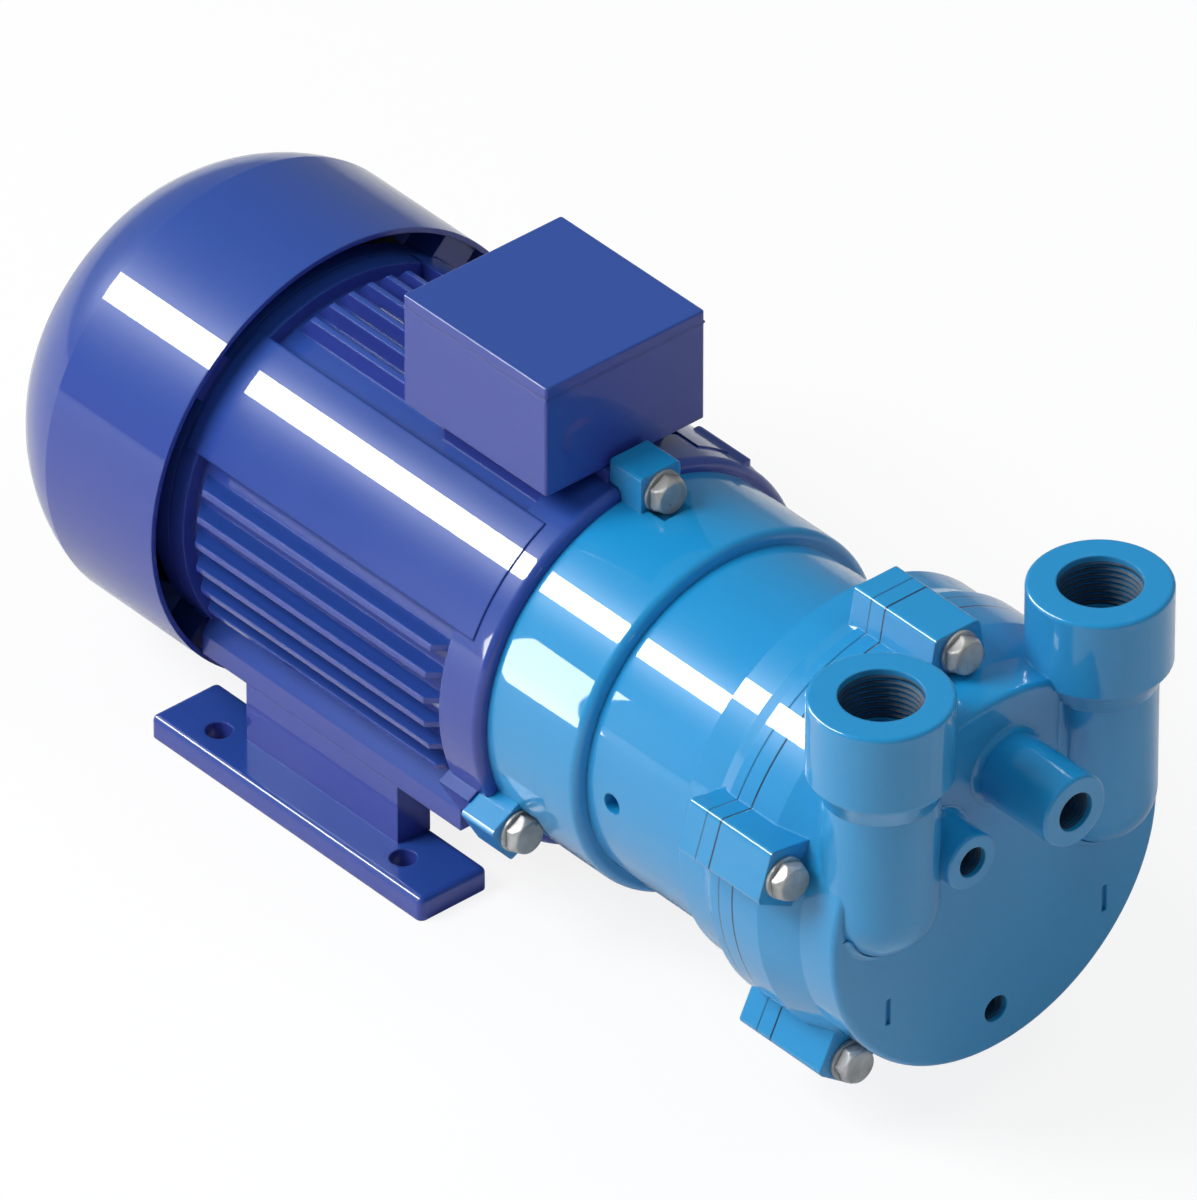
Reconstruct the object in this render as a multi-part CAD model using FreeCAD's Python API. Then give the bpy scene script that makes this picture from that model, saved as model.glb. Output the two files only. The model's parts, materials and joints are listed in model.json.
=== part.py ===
import FreeCAD, Part
import math
import os
from FreeCAD import Vector

os.makedirs("parts", exist_ok=True)

# Close-coupled liquid ring vacuum pump on a foot-mounted motor, in millimetres.
# While a piece is made, x = 0 is the front face of the motor frame and y = z = 0 is the shaft axis.
# x grows towards the pump cover. The finished pieces are moved so that the origin lies on the
# floor, midway between the four foot holes.

# Mounting dimensions of the motor
shaft_height = 90.0
foot_pitch_x = 100.0
foot_pitch_y = 140.0
foot_hole_r = 5.0
feet_to_joint = 96.5

# Clearances
fit_gap = 0.05
running_gap = 0.3
thread_gap = 0.05
bolt_hole_gap = 0.5
seat_gap = 0.2
stud_gap = 0.1
lid_screw_gap = 0.25
seal_face_gap = 0.02

# Motor frame
frame_length = 166.0
core_r = 65.0
frame_wall = 5.0
fin_tip_r = 77.0
fin_thickness = 2.4
fin_front_x = -27.0
fin_rear_gap = 16.0
fin_end_slope = 7.0
side_fin_count = 6
side_fin_top_z = 22.8
side_fin_pitch = 10.5
top_fin_count = 6
bottom_fin_count = 5
top_fin_pitch = 8.8
corner_inner_y = 35.3
corner_lower_z = 33.0
front_ring_r = 75.7
corner_step = 0.6
front_ring_length = 20.0
front_ring_edge_r = 3.0
side_pad_length = 27.0
side_pad_width = 22.0
side_pad_height = 38.0
side_pad_y = 54.0
side_pad_z = 58.0
side_pad_edge_r = 2.5
rear_ring_length = 8.0
rail_outer_y = 66.0
rail_inner_y = 42.0
rail_top_z = -47.5
rail_bottom_z = -56.0
rail_end_gap = 6.0
rail_fillet = 11.5
rail_fillet_y = 8.0
wiring_hole_r = 9.0

# Feet
foot_length = 147.0
foot_outer_y = 82.0
foot_inner_y = 51.0
foot_thickness = 9.3
foot_edge_r = 2.5
web_length = 82.0
web_forward = 1.5
web_thickness = 15.0
foot_screw_pitch = 56.0
foot_screw_depth = 14.0
foot_screw_thread = 10.0

# Fan cowl and fan
cowl_overlap = 5.1
cowl_straight_length = 58.1
cowl_taper_length = 33.0
cowl_r = 88.0
cowl_rear_r = 69.0
cowl_wall = 2.0
cowl_bulge = 3.2
cowl_rear_fillet = 7.0
grille_ring_count = 4
grille_spoke_count = 8
grille_inner_r = 14.0
grille_outer_r = 64.0
grille_bar = 3.4
fan_r = 74.0
fan_setback = 36.0
fan_length = 26.0
fan_disc_thickness = 2.6
fan_dish = 8.0
fan_corner = 8.0
fan_clip_thickness = 1.2
fan_clip_height = 3.0
fan_hub_r = 17.0
fan_blade_count = 8
fan_blade_thickness = 2.2
fan_blade_inner_r = 26.0

# Rear end shield
shield_thickness = 8.0
shield_spigot = 6.0
shield_hub_length = 20.0
shield_hub_rear = 5.0
shield_hub_wall = 6.0
shield_lip = 3.0
cowl_pad_count = 4
cowl_pad_half_width = 9.0
cowl_pad_length = 14.0
shield_screw_count = 4
shield_screw_r = 70.5
shield_screw_thread = 9.0

# Stator and rotor
core_front_x = -35.0
core_rear_gap = 41.0
core_bore_r = 37.8
coil_overhang = 20.0
coil_wall_gap = 4.0
coil_inner_r = 42.0
coil_edge_r = 5.0
cage_ring_length = 9.0
cage_ring_inner_r = 27.0

# Front bearing 6206 and rear bearing 6205
front_bearing_r = 31.0
front_bearing_bore_r = 15.0
front_bearing_width = 16.0
front_ball_pitch_r = 23.0
front_ball_r = 4.75
rear_bearing_r = 26.0
rear_bearing_bore_r = 12.5
rear_bearing_width = 15.0
rear_ball_pitch_r = 19.25
rear_ball_r = 3.95
ball_count = 9
ball_gap = 0.15
cage_margin = 1.5
cage_thickness = 2.8
race_depth = 0.72
front_bearing_x = 0.0
rear_bearing_setback = 10.0
bearing_clip_thickness = 1.5
bearing_clip_height = 3.5

# Shaft
shaft_core_r = 17.5
shaft_shoulder_r = 18.5
shaft_relief = 1.5
rear_shoulder_length = 2.0
fan_seat_r = 10.0
fan_shoulder_r = 11.5
shaft_bracket_r = 14.0
shaft_seal_r = 12.5
impeller_seat_r = 12.0
shaft_rear_reach = 8.0
shaft_thread_depth = 20.0
key_width = 5.0
key_height = 5.0
key_start = 4.0
key_end_gap = 3.0
slinger_height = 10.0
slinger_hub_height = 4.0
slinger_length = 8.0

# Terminal box
box_rear_x = -84.2
box_front_x = -8.0
box_half_width = 36.5
box_bottom_z = 80.5
box_top_z = 126.0
box_wall = 3.0
lid_thickness = 4.5
lid_edge_r = 0.8
lid_tongue_depth = 14.0
lid_tongue_thickness = 6.0
lid_rear_tongue_length = 56.0
lid_far_tongue_length = 60.0
lid_thread_depth = 5.5
lid_screw_drop = 6.0
lid_screw_side_y = 22.0
lid_screw_pitch = 48.0
gasket_thickness = 0.8
box_edge_r = 1.2
pad_margin = 10.0
entry_r = 10.0
entry_pitch = 32.0
plug_head_r = 12.0
plug_head_height = 1.6
plug_slot_length = 12.0
plug_slot_width = 1.6
terminal_block_length = 48.0
terminal_block_width = 36.0
terminal_block_height = 12.0
terminal_ridge = 5.0
terminal_middle_y = -2.0
stud_pitch_x = 16.0
stud_pitch_y = 18.0
stud_length = 20.0
stud_depth = 8.0
nut_height = 3.2
nut_half_flat = 3.5
link_width = 7.0
link_length = 26.0
link_thickness = 1.0

# Drive bracket
bracket_length = 46.2
bracket_r = 71.0
bracket_wall = 10.0
bracket_spigot = 6.0
bracket_web_x = 10.0
bracket_web_thickness = 10.0
bracket_hub_wall = 7.0
bracket_hub_rear = 4.0
bracket_cap_inner = 9.0
bracket_edge_r = 3.0
bracket_bolt_r = 76.5
spot_face_depth = 9.0
bracket_bolt_count = 3
bracket_lug_outer_r = 85.0
bracket_lug_inner_r = 68.0
bracket_lug_half_width = 9.0
bracket_lug_edge_r = 1.5
bracket_bolt_reach = 12.0
bracket_lug_rear_x = -6.0
bracket_lug_front_x = 10.6
frame_lug_depth = 16.0
frame_lug_outer_r = 80.2

# Pump casing
eccentricity = 9.0
register_r = 48.0
register_depth = 6.0
casing_neck_r = 65.5
casing_neck_wall = 8.5
flare_start_x = 96.0
flare_end_x = 107.5
drum_wall = 6.5
drum_end_x = 121.0
flange_wall = 10.0
flange_start_x = 127.5
casing_front_x = 132.0
chamber_r = 69.5
chamber_length = 28.0
neck_room_start = 7.8
neck_room_end = 10.0
seal_hub_r = 30.0
seal_hub_length = 22.0
seat_bore_r = 19.0
seal_cavity_r = 21.0
seal_room_length = 20.0
side_hole_x = 60.0
side_hole_r = 4.0
casing_screw_r = 53.5
casing_screw_count = 4
casing_screw_thread = 7.0

# Port plate and its crescent openings
plate_thickness = 7.0
port_inner_r = 30.0
port_outer_r = 45.0
suction_port_angles = (112.0, 205.0)
discharge_port_angles = (-28.0, 22.0)
valve_hole_r = 3.2
valve_hole_angles = (34.0, 46.0, 58.0)
valve_screw_angles = (26.0, 66.0)
valve_thickness = 0.8
valve_flap_angle = 4.0
valve_ear_r = 5.0
valve_screw_offset = 3.0
valve_screw_thread = 4.0

# Cover, lugs and bolts of the pump end
cover_length = 48.0
cover_flange_length = 26.0
cover_ring_length = 13.0
cover_cone_length = 17.0
cover_cone_height = 4.5
cover_wall = 6.0
cover_edge_r = 2.5
cover_cavity_gap = 2.5
cover_rib = 10.0
cover_hub_r = 22.0
nut_room_r = 17.0
nut_room_length = 8.0
lug_count = 5
lug_first_angle = 90.0
lug_bolt_offset = 4.0
lug_tip_wall = 8.5
lug_tip_half_width = 10.0
lug_root_half_width = 14.0
lug_edge_r = 2.0
casing_lug_rear_x = 123.0
gasket_offset = 5.1
gasket_width = 2.4
gasket_depth = 2.0

# Suction and discharge tubes
port_x = 182.2
port_y = 50.2
port_top_z = 107.0
port_tube_r = 21.0
port_bore_r = 14.0
port_foot_z = 22.0
socket_r = 26.0
socket_length = 32.3
socket_thread_r = 15.15
socket_thread_length = 20.0
socket_edge_r = 1.5

# Small connections on the cover face
supply_y = 3.0
supply_z = 54.5
supply_r = 14.0
supply_length = 36.0
supply_thread_r = 7.5
supply_thread_length = 14.0
gauge_y = -27.0
gauge_z = 37.0
gauge_r = 11.0
gauge_length = 17.0
gauge_thread_r = 5.9
gauge_thread_length = 11.0
passage_step = 1.5
stub_edge_r = 1.2
drain_z = -48.7
drain_r = 5.2
drain_thread_length = 10.0
drain_inner_r = 4.0
boss_wall = 5.0
face_slot_y = 50.0
face_slot_z = -25.5
face_slot_height = 11.0
face_slot_width = 2.2
face_slot_depth = 1.5

# Impeller and shaft seal
blade_count = 12
impeller_hub_r = 26.0
impeller_disc_r = 48.0
impeller_disc_thickness = 3.0
blade_thickness = 3.4
blade_sweep = 24.0
impeller_tip_gap = 0.5
impeller_washer_r = 15.0
impeller_washer_thickness = 2.0
seat_thickness = 8.0
seal_ring_r = 17.5
seal_face_length = 6.0
seal_step = 1.5
seal_carrier_step = 0.5

# Screws: shank radius, thread core radius, head radius or half width, head height
m8_bolt = (4.0, 3.35, 6.5, 5.3)
m6_screw = (3.0, 2.45, 5.0, 6.0)
m5_screw = (2.5, 2.05, 4.25, 5.0)
m4_screw = (2.0, 1.6, 3.6, 2.4)
bolt_washer_r = 8.0
bolt_washer_thickness = 1.6

# Places worked out from the driving dimensions
frame_bore_r = core_r + fit_gap
frame_root_r = frame_bore_r + frame_wall
frame_rear_x = -frame_length
fin_back_x = frame_rear_x + fin_rear_gap
cowl_front_x = frame_rear_x + cowl_overlap
cowl_shoulder_x = cowl_front_x - cowl_straight_length
cowl_rear_x = cowl_shoulder_x - cowl_taper_length
fan_front_x = frame_rear_x - fan_setback
core_back_x = frame_rear_x + core_rear_gap
coil_outer_r = core_r - coil_wall_gap
rear_bearing_x = frame_rear_x - rear_bearing_setback
corner_r = front_ring_r + corner_step
fan_rear_x = fan_front_x - fan_length
shaft_rear_x = fan_rear_x - shaft_rear_reach
drum_r = chamber_r + drum_wall
flange_r = chamber_r + flange_wall
gasket_r = chamber_r + gasket_offset
cover_face_r = flange_r - cover_cone_height
cover_cavity_r = chamber_r - cover_cavity_gap
lug_bolt_r = flange_r + lug_bolt_offset
lug_outer_r = lug_bolt_r + lug_tip_wall
box_middle_x = (box_rear_x + box_front_x) / 2
entry_z = box_bottom_z + box_wall + entry_r
block_bottom_z = box_bottom_z + box_wall
foot_middle_x = -feet_to_joint
impeller_rear_x = casing_front_x - chamber_length + running_gap
impeller_front_x = casing_front_x - running_gap
impeller_r = chamber_r - eccentricity - impeller_tip_gap
plate_front_x = casing_front_x + plate_thickness
face_x = plate_front_x + cover_length
seal_wall_x = casing_front_x - chamber_length
socket_bottom_z = port_top_z - socket_length
lid_bottom_z = box_top_z - lid_thickness
rotor_r = core_bore_r - running_gap
front_bearing = (front_bearing_r, front_bearing_bore_r, front_bearing_width, front_ball_pitch_r,
                 front_ball_r)
rear_bearing = (rear_bearing_r, rear_bearing_bore_r, rear_bearing_width, rear_ball_pitch_r,
                rear_ball_r)
x_axis = Vector(1, 0, 0)
y_axis = Vector(0, 1, 0)
z_axis = Vector(0, 0, 1)


def rod(x0, x1, radius, y=0.0, z=0.0):
    """Solid cylinder along the shaft direction."""
    return Part.makeCylinder(radius, x1 - x0, Vector(x0, y, z), x_axis)


def post(z0, z1, radius, x, y):
    """Solid upright cylinder."""
    return Part.makeCylinder(radius, z1 - z0, Vector(x, y, z0), z_axis)


def ring(x0, x1, inner, outer, y=0.0, z=0.0):
    return rod(x0, x1, outer, y, z).cut(rod(x0 - 1.0, x1 + 1.0, inner, y, z))


def block(x0, x1, y0, y1, z0, z1):
    return Part.makeBox(x1 - x0, y1 - y0, z1 - z0, Vector(x0, y0, z0))


def turned(profile, y=0.0, z=0.0):
    """Solid of revolution about the shaft direction, from points (x, radius)."""
    points = [Vector(x, y + radius, z) for x, radius in profile]
    face = Part.Face(Part.makePolygon(points + points[:1]))
    return face.revolve(Vector(0, y, z), x_axis, 360)


def tapered(x0, radius0, z0, x1, radius1, z1):
    """Straight-sided solid between two circles of different size and height."""
    ends = [Part.Wire(Part.makeCircle(radius, Vector(x, 0, z), x_axis))
            for x, radius, z in ((x0, radius0, z0), (x1, radius1, z1))]
    return Part.makeLoft(ends, True, True)


def prism(outline, x0, x1):
    """Outline of (y, z) points pushed along x."""
    points = [Vector(x0, y, z) for y, z in outline]
    face = Part.Face(Part.makePolygon(points + points[:1]))
    return face.extrude(Vector(x1 - x0, 0, 0))


def turned_by(shape, angle, z=0.0):
    """Copy of a shape turned about the x direction; 0 degrees is +y and 90 degrees is up."""
    copy = shape.copy()
    copy.rotate(Vector(0, 0, z), x_axis, angle)
    return copy


def around(shape, count, first_angle=0.0, z=0.0):
    return [turned_by(shape, first_angle + 360.0 * i / count, z) for i in range(count)]


def mirrored(shape):
    return shape.mirror(Vector(0, 0, 0), Vector(0, 1, 0))


def joined(shapes):
    return shapes[0].multiFuse(shapes[1:]).removeSplitter() if len(shapes) > 1 else shapes[0]


def without(shape, tools):
    return shape.cut(tools[0].multiFuse(tools[1:])) if len(tools) > 1 else shape.cut(tools[0])


def group(shapes):
    return Part.makeCompound(shapes)


def rounded(shape, radius, chosen):
    """Fillet the edges for which the test says yes."""
    edges = [edge for edge in shape.Edges if chosen(edge)]
    return shape.makeFillet(radius, edges)


def is_circle(edge, radius, x):
    """Whether an edge is a circle of this radius in the plane at x."""
    if not isinstance(edge.Curve, Part.Circle):
        return False
    near_x = abs(edge.Curve.Center.x - x) < 0.01
    return near_x and abs(edge.Curve.Radius - radius) < 0.01


def hexagon(x0, x1, half_flat, y=0.0, z=0.0):
    corner = half_flat / math.cos(math.pi / 6)
    angles = [math.radians(60 * i) for i in range(6)]
    outline = [(y + corner * math.cos(a), z + corner * math.sin(a)) for a in angles]
    return prism(outline, x0, x1)


def hex_bolt(seat_x, shank_end_x, tip_x, size, radius):
    """Hexagon head bolt along -x, its head on seat_x, at this radius from the axis."""
    shank_r, core_radius, half_flat, head = size
    crown = Part.makeCone(half_flat * 1.3, half_flat * 0.95, head, Vector(seat_x, radius, 0), x_axis)
    head_shape = hexagon(seat_x, seat_x + head, half_flat, radius).common(crown)
    shank = rod(shank_end_x, seat_x, shank_r, radius)
    thread = rod(tip_x, shank_end_x, core_radius, radius)
    return joined([head_shape, shank, thread])


def socket_screw(size, grip, thread):
    """Socket head screw along -z with the underside of its head at z = 0."""
    shank_r, core_radius, head_r, head = size
    body = post(0, head, head_r, 0, 0).fuse(post(-grip, 0, shank_r, 0, 0))
    body = body.fuse(post(-grip - thread, -grip, core_radius, 0, 0))
    key = hexagon(0, head * 0.5, shank_r * 0.8)
    key.rotate(Vector(0, 0, 0), Vector(0, 1, 0), -90)
    key.translate(Vector(0, 0, head * 0.5))
    return body.cut(key)


def placed(shape, position, direction):
    """Copy of a screw whose head points along the direction."""
    copy = shape.copy()
    copy.Placement = FreeCAD.Placement(position, FreeCAD.Rotation(z_axis, direction))
    return copy


def runs_along_x(edge):
    return abs(edge.Vertexes[0].X - edge.Vertexes[-1].X) > edge.Length / 2


def tip_rounded(lug, outer, radius):
    """Round the two long edges at the outer end of a lug that points along y."""
    return rounded(lug, radius, lambda edge: runs_along_x(edge)
                   and min(v.Y for v in edge.Vertexes) > outer - 1.0)


def bracket_lug_outline(margin=0.0, outer=bracket_lug_outer_r):
    half = bracket_lug_half_width + margin
    inner = bracket_lug_inner_r - margin
    return [(inner, -half), (outer, -half), (outer, half), (inner, half)]


def pump_lug(x0, x1):
    """Tapered bolt lug of the pump end, at angle zero about the casing centre."""
    root = chamber_r - 1.0
    outline = [
        (root, eccentricity - lug_root_half_width), (lug_outer_r, eccentricity - lug_tip_half_width),
        (lug_outer_r, eccentricity + lug_tip_half_width), (root, eccentricity + lug_root_half_width)]
    return tip_rounded(prism(outline, x0, x1), lug_outer_r, lug_edge_r)


def pump_lugs(x0, x1):
    return around(pump_lug(x0, x1), lug_count, lug_first_angle, eccentricity)


def lug_holes(x0, x1, radius):
    hole = rod(x0, x1, radius, lug_bolt_r, eccentricity)
    return around(hole, lug_count, lug_first_angle, eccentricity)


def make_stator_frame():
    shell = rod(frame_rear_x, 0, frame_root_r)
    front = turned([
        (-front_ring_length - 5.0, 0), (-front_ring_length - 5.0, frame_root_r - 1.0),
        (-front_ring_length, front_ring_r), (0, front_ring_r), (0, 0)])
    front = rounded(front, front_ring_edge_r, lambda edge: is_circle(edge, front_ring_r, 0))
    side_pad = block(-side_pad_length - 2.0, -2.0, side_pad_y - side_pad_width, side_pad_y,
                     side_pad_z - side_pad_height, side_pad_z)
    side_pad = rounded(side_pad, side_pad_edge_r,
                       lambda edge: min(v.Y for v in edge.Vertexes) > side_pad_y - 1.0
                       and max(v.Z for v in edge.Vertexes) > side_pad_z - 1.0)
    rear = rod(frame_rear_x, frame_rear_x + rear_ring_length, front_ring_r)
    fin_room = turned([
        (fin_back_x - fin_end_slope, 0), (fin_back_x - fin_end_slope, frame_root_r - 1.0),
        (fin_back_x, fin_tip_r), (fin_front_x, fin_tip_r),
        (fin_front_x + fin_end_slope, frame_root_r - 1.0), (fin_front_x + fin_end_slope, 0)])
    fin_x0 = fin_back_x - fin_end_slope
    fin_x1 = fin_front_x + fin_end_slope
    half = fin_thickness / 2
    reach = fin_tip_r + 1.0
    fins = []
    for i in range(side_fin_count):
        z = side_fin_top_z - i * side_fin_pitch
        fins.append(block(fin_x0, fin_x1, -reach, reach, z - half, z + half))
    for i in range(top_fin_count):
        y = (i - (top_fin_count - 1) / 2) * top_fin_pitch
        fins.append(block(fin_x0, fin_x1, y - half, y + half, 0, reach))
    for i in range(bottom_fin_count):
        y = (i - (bottom_fin_count - 1) / 2) * top_fin_pitch
        fins.append(block(fin_x0, fin_x1, y - half, y + half, -reach, 0))
    fins = [fin.common(fin_room) for fin in fins]
    corner_room = rod(frame_rear_x, -front_ring_length / 2, corner_r)
    corners = []
    for y0, y1 in ((-reach, -corner_inner_y), (corner_inner_y, reach)):
        corner = block(frame_rear_x + 2.0, -front_ring_length / 2, y0, y1, corner_lower_z, reach)
        corners.append(corner.common(corner_room))
    rail_shoulder_z = rail_top_z + rail_fillet
    rail = prism([
        (-rail_outer_y, rail_top_z), (-rail_outer_y, rail_bottom_z), (-rail_inner_y, rail_bottom_z),
        (-rail_inner_y, rail_shoulder_z), (-rail_outer_y + rail_fillet_y, rail_shoulder_z)],
        frame_rear_x + rail_end_gap, -front_ring_length)
    rails = [rail, mirrored(rail)]
    pad = block(box_rear_x + pad_margin, box_front_x - pad_margin, -box_half_width + pad_margin,
                box_half_width - pad_margin, 0, box_bottom_z)
    lug = prism(bracket_lug_outline(1.0, frame_lug_outer_r), bracket_lug_rear_x - frame_lug_depth,
                bracket_lug_rear_x)
    lugs = around(lug, bracket_bolt_count, 90.0)
    body = joined([shell, front, rear, pad, side_pad] + fins + corners + rails + lugs)
    pocket = prism(bracket_lug_outline(running_gap, bracket_lug_outer_r + 5.0),
                   bracket_lug_rear_x, 1.0)
    thread = rod(bracket_lug_rear_x - bracket_bolt_reach - 2.0, bracket_lug_rear_x + 1.0,
                 m8_bolt[1] + thread_gap, bracket_bolt_r)
    shield_thread = rod(frame_rear_x - 1.0, frame_rear_x + shield_screw_thread + 1.0,
                        m5_screw[1] + thread_gap, shield_screw_r)
    tools = [rod(frame_rear_x - 1.0, 1.0, frame_bore_r)]
    tools += around(pocket, bracket_bolt_count, 90.0)
    tools += around(thread, bracket_bolt_count, 90.0)
    tools += around(shield_thread, shield_screw_count, 45.0)
    tools.append(post(0, box_bottom_z + 1.0, wiring_hole_r, box_middle_x, 0))
    for x, y in foot_screw_places():
        tools.append(post(rail_bottom_z - 1.0, rail_bottom_z + foot_screw_thread + 2.0,
                          m6_screw[1] + thread_gap, x, y))
    return without(body, tools)


def foot_screw_places():
    y = rail_outer_y - web_thickness / 2
    offset = foot_screw_pitch / 2
    return [(foot_middle_x + dx, side * y) for side in (-1, 1) for dx in (-offset, offset)]


def make_foot():
    """Left foot: a bar with two bolt holes and a web up to the rail of the frame."""
    bottom = -shaft_height
    bar = block(foot_middle_x - foot_length / 2, foot_middle_x + foot_length / 2,
                -foot_outer_y, -foot_inner_y, bottom, bottom + foot_thickness)
    bar = rounded(bar, foot_edge_r, lambda edge: max(v.Z for v in edge.Vertexes) > bottom + 1.0)
    web_middle_x = foot_middle_x + web_forward
    web = block(web_middle_x - web_length / 2, web_middle_x + web_length / 2, -rail_outer_y,
                -rail_outer_y + web_thickness, bottom + foot_thickness - 1.0, rail_bottom_z)
    foot = joined([bar, web])
    tools = []
    for dx in (-foot_pitch_x / 2, foot_pitch_x / 2):
        tools.append(post(bottom - 1.0, bottom + foot_thickness + 1.0, foot_hole_r,
                          foot_middle_x + dx, -foot_pitch_y / 2))
    for x, y in foot_screw_places()[:2]:
        tools.append(post(bottom - 1.0, rail_bottom_z + 1.0, m6_screw[0] + bolt_hole_gap, x, y))
        tools.append(post(bottom - 1.0, bottom + foot_screw_depth, m6_screw[2] + bolt_hole_gap, x, y))
    return without(foot, tools)


def make_foot_screws():
    head_seat = -shaft_height + foot_screw_depth
    screw = socket_screw(m6_screw, rail_bottom_z - head_seat, foot_screw_thread)
    return group([placed(screw, Vector(x, y, head_seat), Vector(0, 0, -1))
                  for x, y in foot_screw_places()])


def cowl_profile(wall):
    """Half section of the cowl surface, moved inwards by the wall."""
    rear = cowl_rear_x + wall
    outer = cowl_r - wall
    rear_r = cowl_rear_r - wall
    middle_x = (cowl_shoulder_x + cowl_rear_x) / 2
    middle_r = (cowl_r + cowl_rear_r) / 2 + cowl_bulge - wall
    start = Vector(cowl_front_x + (1.0 if wall else 0.0), outer, 0)
    shoulder = Vector(cowl_shoulder_x, outer, 0)
    corner = Vector(rear, rear_r, 0)
    arc = Part.Arc(shoulder, Vector(middle_x, middle_r, 0), corner).toShape()
    edges = [
        Part.makeLine(Vector(start.x, 0, 0), start), Part.makeLine(start, shoulder), arc,
        Part.makeLine(corner, Vector(rear, 0, 0)),
        Part.makeLine(Vector(rear, 0, 0), Vector(start.x, 0, 0))]
    return Part.Face(Part.Wire(edges)).revolve(Vector(0, 0, 0), x_axis, 360)


def make_fan_cowl():
    outside = cowl_profile(0.0)
    outside = rounded(outside, cowl_rear_fillet, lambda edge: is_circle(edge, cowl_rear_r, cowl_rear_x))
    shell = outside.cut(cowl_profile(cowl_wall))
    ring_pitch = (grille_outer_r - grille_inner_r) / grille_ring_count
    slots = []
    for i in range(grille_ring_count):
        inner = grille_inner_r + i * ring_pitch
        slots.append(ring(cowl_rear_x - 1.0, cowl_rear_x + cowl_wall + 1.0, inner,
                          inner + ring_pitch - grille_bar))
    spoke = block(cowl_rear_x - 2.0, cowl_rear_x + cowl_wall + 2.0, 0, grille_outer_r + 5.0,
                  -grille_bar / 2, grille_bar / 2)
    spokes = joined(around(spoke, grille_spoke_count))
    return without(shell, [slot.cut(spokes) for slot in slots])


def make_rear_shield():
    outer_r = front_ring_r
    hub_r = rear_bearing_r + shield_hub_wall
    plate_x = frame_rear_x - shield_thickness
    hub_rear = plate_x - shield_hub_rear
    plate = rod(plate_x, frame_rear_x, outer_r)
    spigot = ring(frame_rear_x, frame_rear_x + shield_spigot, core_r - frame_wall, core_r)
    hub = rod(hub_rear, hub_rear + shield_hub_length, hub_r)
    pad = block(frame_rear_x - cowl_pad_length, frame_rear_x, outer_r - 4.0, cowl_r - cowl_wall,
                -cowl_pad_half_width, cowl_pad_half_width)
    pad_room = rod(frame_rear_x - cowl_pad_length, frame_rear_x, cowl_r - cowl_wall - fit_gap)
    pads = [item.common(pad_room) for item in around(pad, cowl_pad_count, 45.0)]
    body = joined([plate, spigot, hub] + pads)
    reach = plate_x - cowl_pad_length
    screw_hole = rod(reach, frame_rear_x + 1.0, m5_screw[0] + bolt_hole_gap / 2, shield_screw_r)
    head_room = rod(reach, plate_x, m5_screw[2] + 1.5 * bolt_hole_gap, shield_screw_r)
    tools = [rod(rear_bearing_x, frame_rear_x + shield_hub_length, rear_bearing_r + fit_gap)]
    tools.append(rod(hub_rear - 1.0, rear_bearing_x + 1.0, rear_bearing_bore_r + shield_lip))
    tools += around(screw_hole, shield_screw_count, 45.0)
    tools += around(head_room, shield_screw_count, 45.0)
    return without(body, tools)


def make_shield_screws():
    screw = socket_screw(m5_screw, shield_thickness, shield_screw_thread)
    seat = Vector(frame_rear_x - shield_thickness, shield_screw_r, 0)
    return group(around(placed(screw, seat, Vector(-1, 0, 0)), shield_screw_count, 45.0))


def raceway(x_middle, pitch_r, ball_r):
    return Part.makeTorus(pitch_r, ball_r + ball_gap, Vector(x_middle, 0, 0), x_axis)


def bearing_ring(size, rear_x, outer_ring):
    outer_r, bore_r, width, pitch_r, ball_r = size
    shoulder = ball_r * race_depth
    if outer_ring:
        blank = ring(rear_x, rear_x + width, pitch_r + shoulder, outer_r)
    else:
        blank = ring(rear_x, rear_x + width, bore_r + fit_gap / 5, pitch_r - shoulder)
    return blank.cut(raceway(rear_x + width / 2, pitch_r, ball_r))


def bearing_balls(size, rear_x):
    pitch_r, ball_r = size[3], size[4]
    ball = Part.makeSphere(ball_r, Vector(rear_x + size[2] / 2, pitch_r, 0))
    return group(around(ball, ball_count))


def bearing_cage(size, rear_x):
    pitch_r, ball_r = size[3], size[4]
    middle = rear_x + size[2] / 2
    half = ball_r + cage_margin
    band = ring(middle - half, middle + half, pitch_r - cage_thickness / 2,
                pitch_r + cage_thickness / 2)
    pocket = Part.makeCylinder(ball_r + ball_gap, 2 * ball_r, Vector(middle, pitch_r - ball_r, 0),
                               y_axis)
    return without(band, around(pocket, ball_count))


def make_stator_core():
    return ring(core_back_x, core_front_x, core_bore_r, core_r)


def make_stator_winding():
    front = ring(core_front_x, core_front_x + coil_overhang, coil_inner_r, coil_outer_r)
    back = ring(core_back_x - coil_overhang, core_back_x, coil_inner_r, coil_outer_r)
    front_end = core_front_x + coil_overhang
    back_end = core_back_x - coil_overhang
    front = rounded(front, coil_edge_r, lambda edge: is_circle(edge, coil_outer_r, front_end))
    back = rounded(back, coil_edge_r, lambda edge: is_circle(edge, coil_outer_r, back_end))
    return group([front, back])


def make_rotor_core():
    return ring(core_back_x, core_front_x, shaft_core_r, rotor_r)


def make_rotor_cage():
    return group([
        ring(core_front_x, core_front_x + cage_ring_length, cage_ring_inner_r, rotor_r),
        ring(core_back_x - cage_ring_length, core_back_x, cage_ring_inner_r, rotor_r)])


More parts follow.
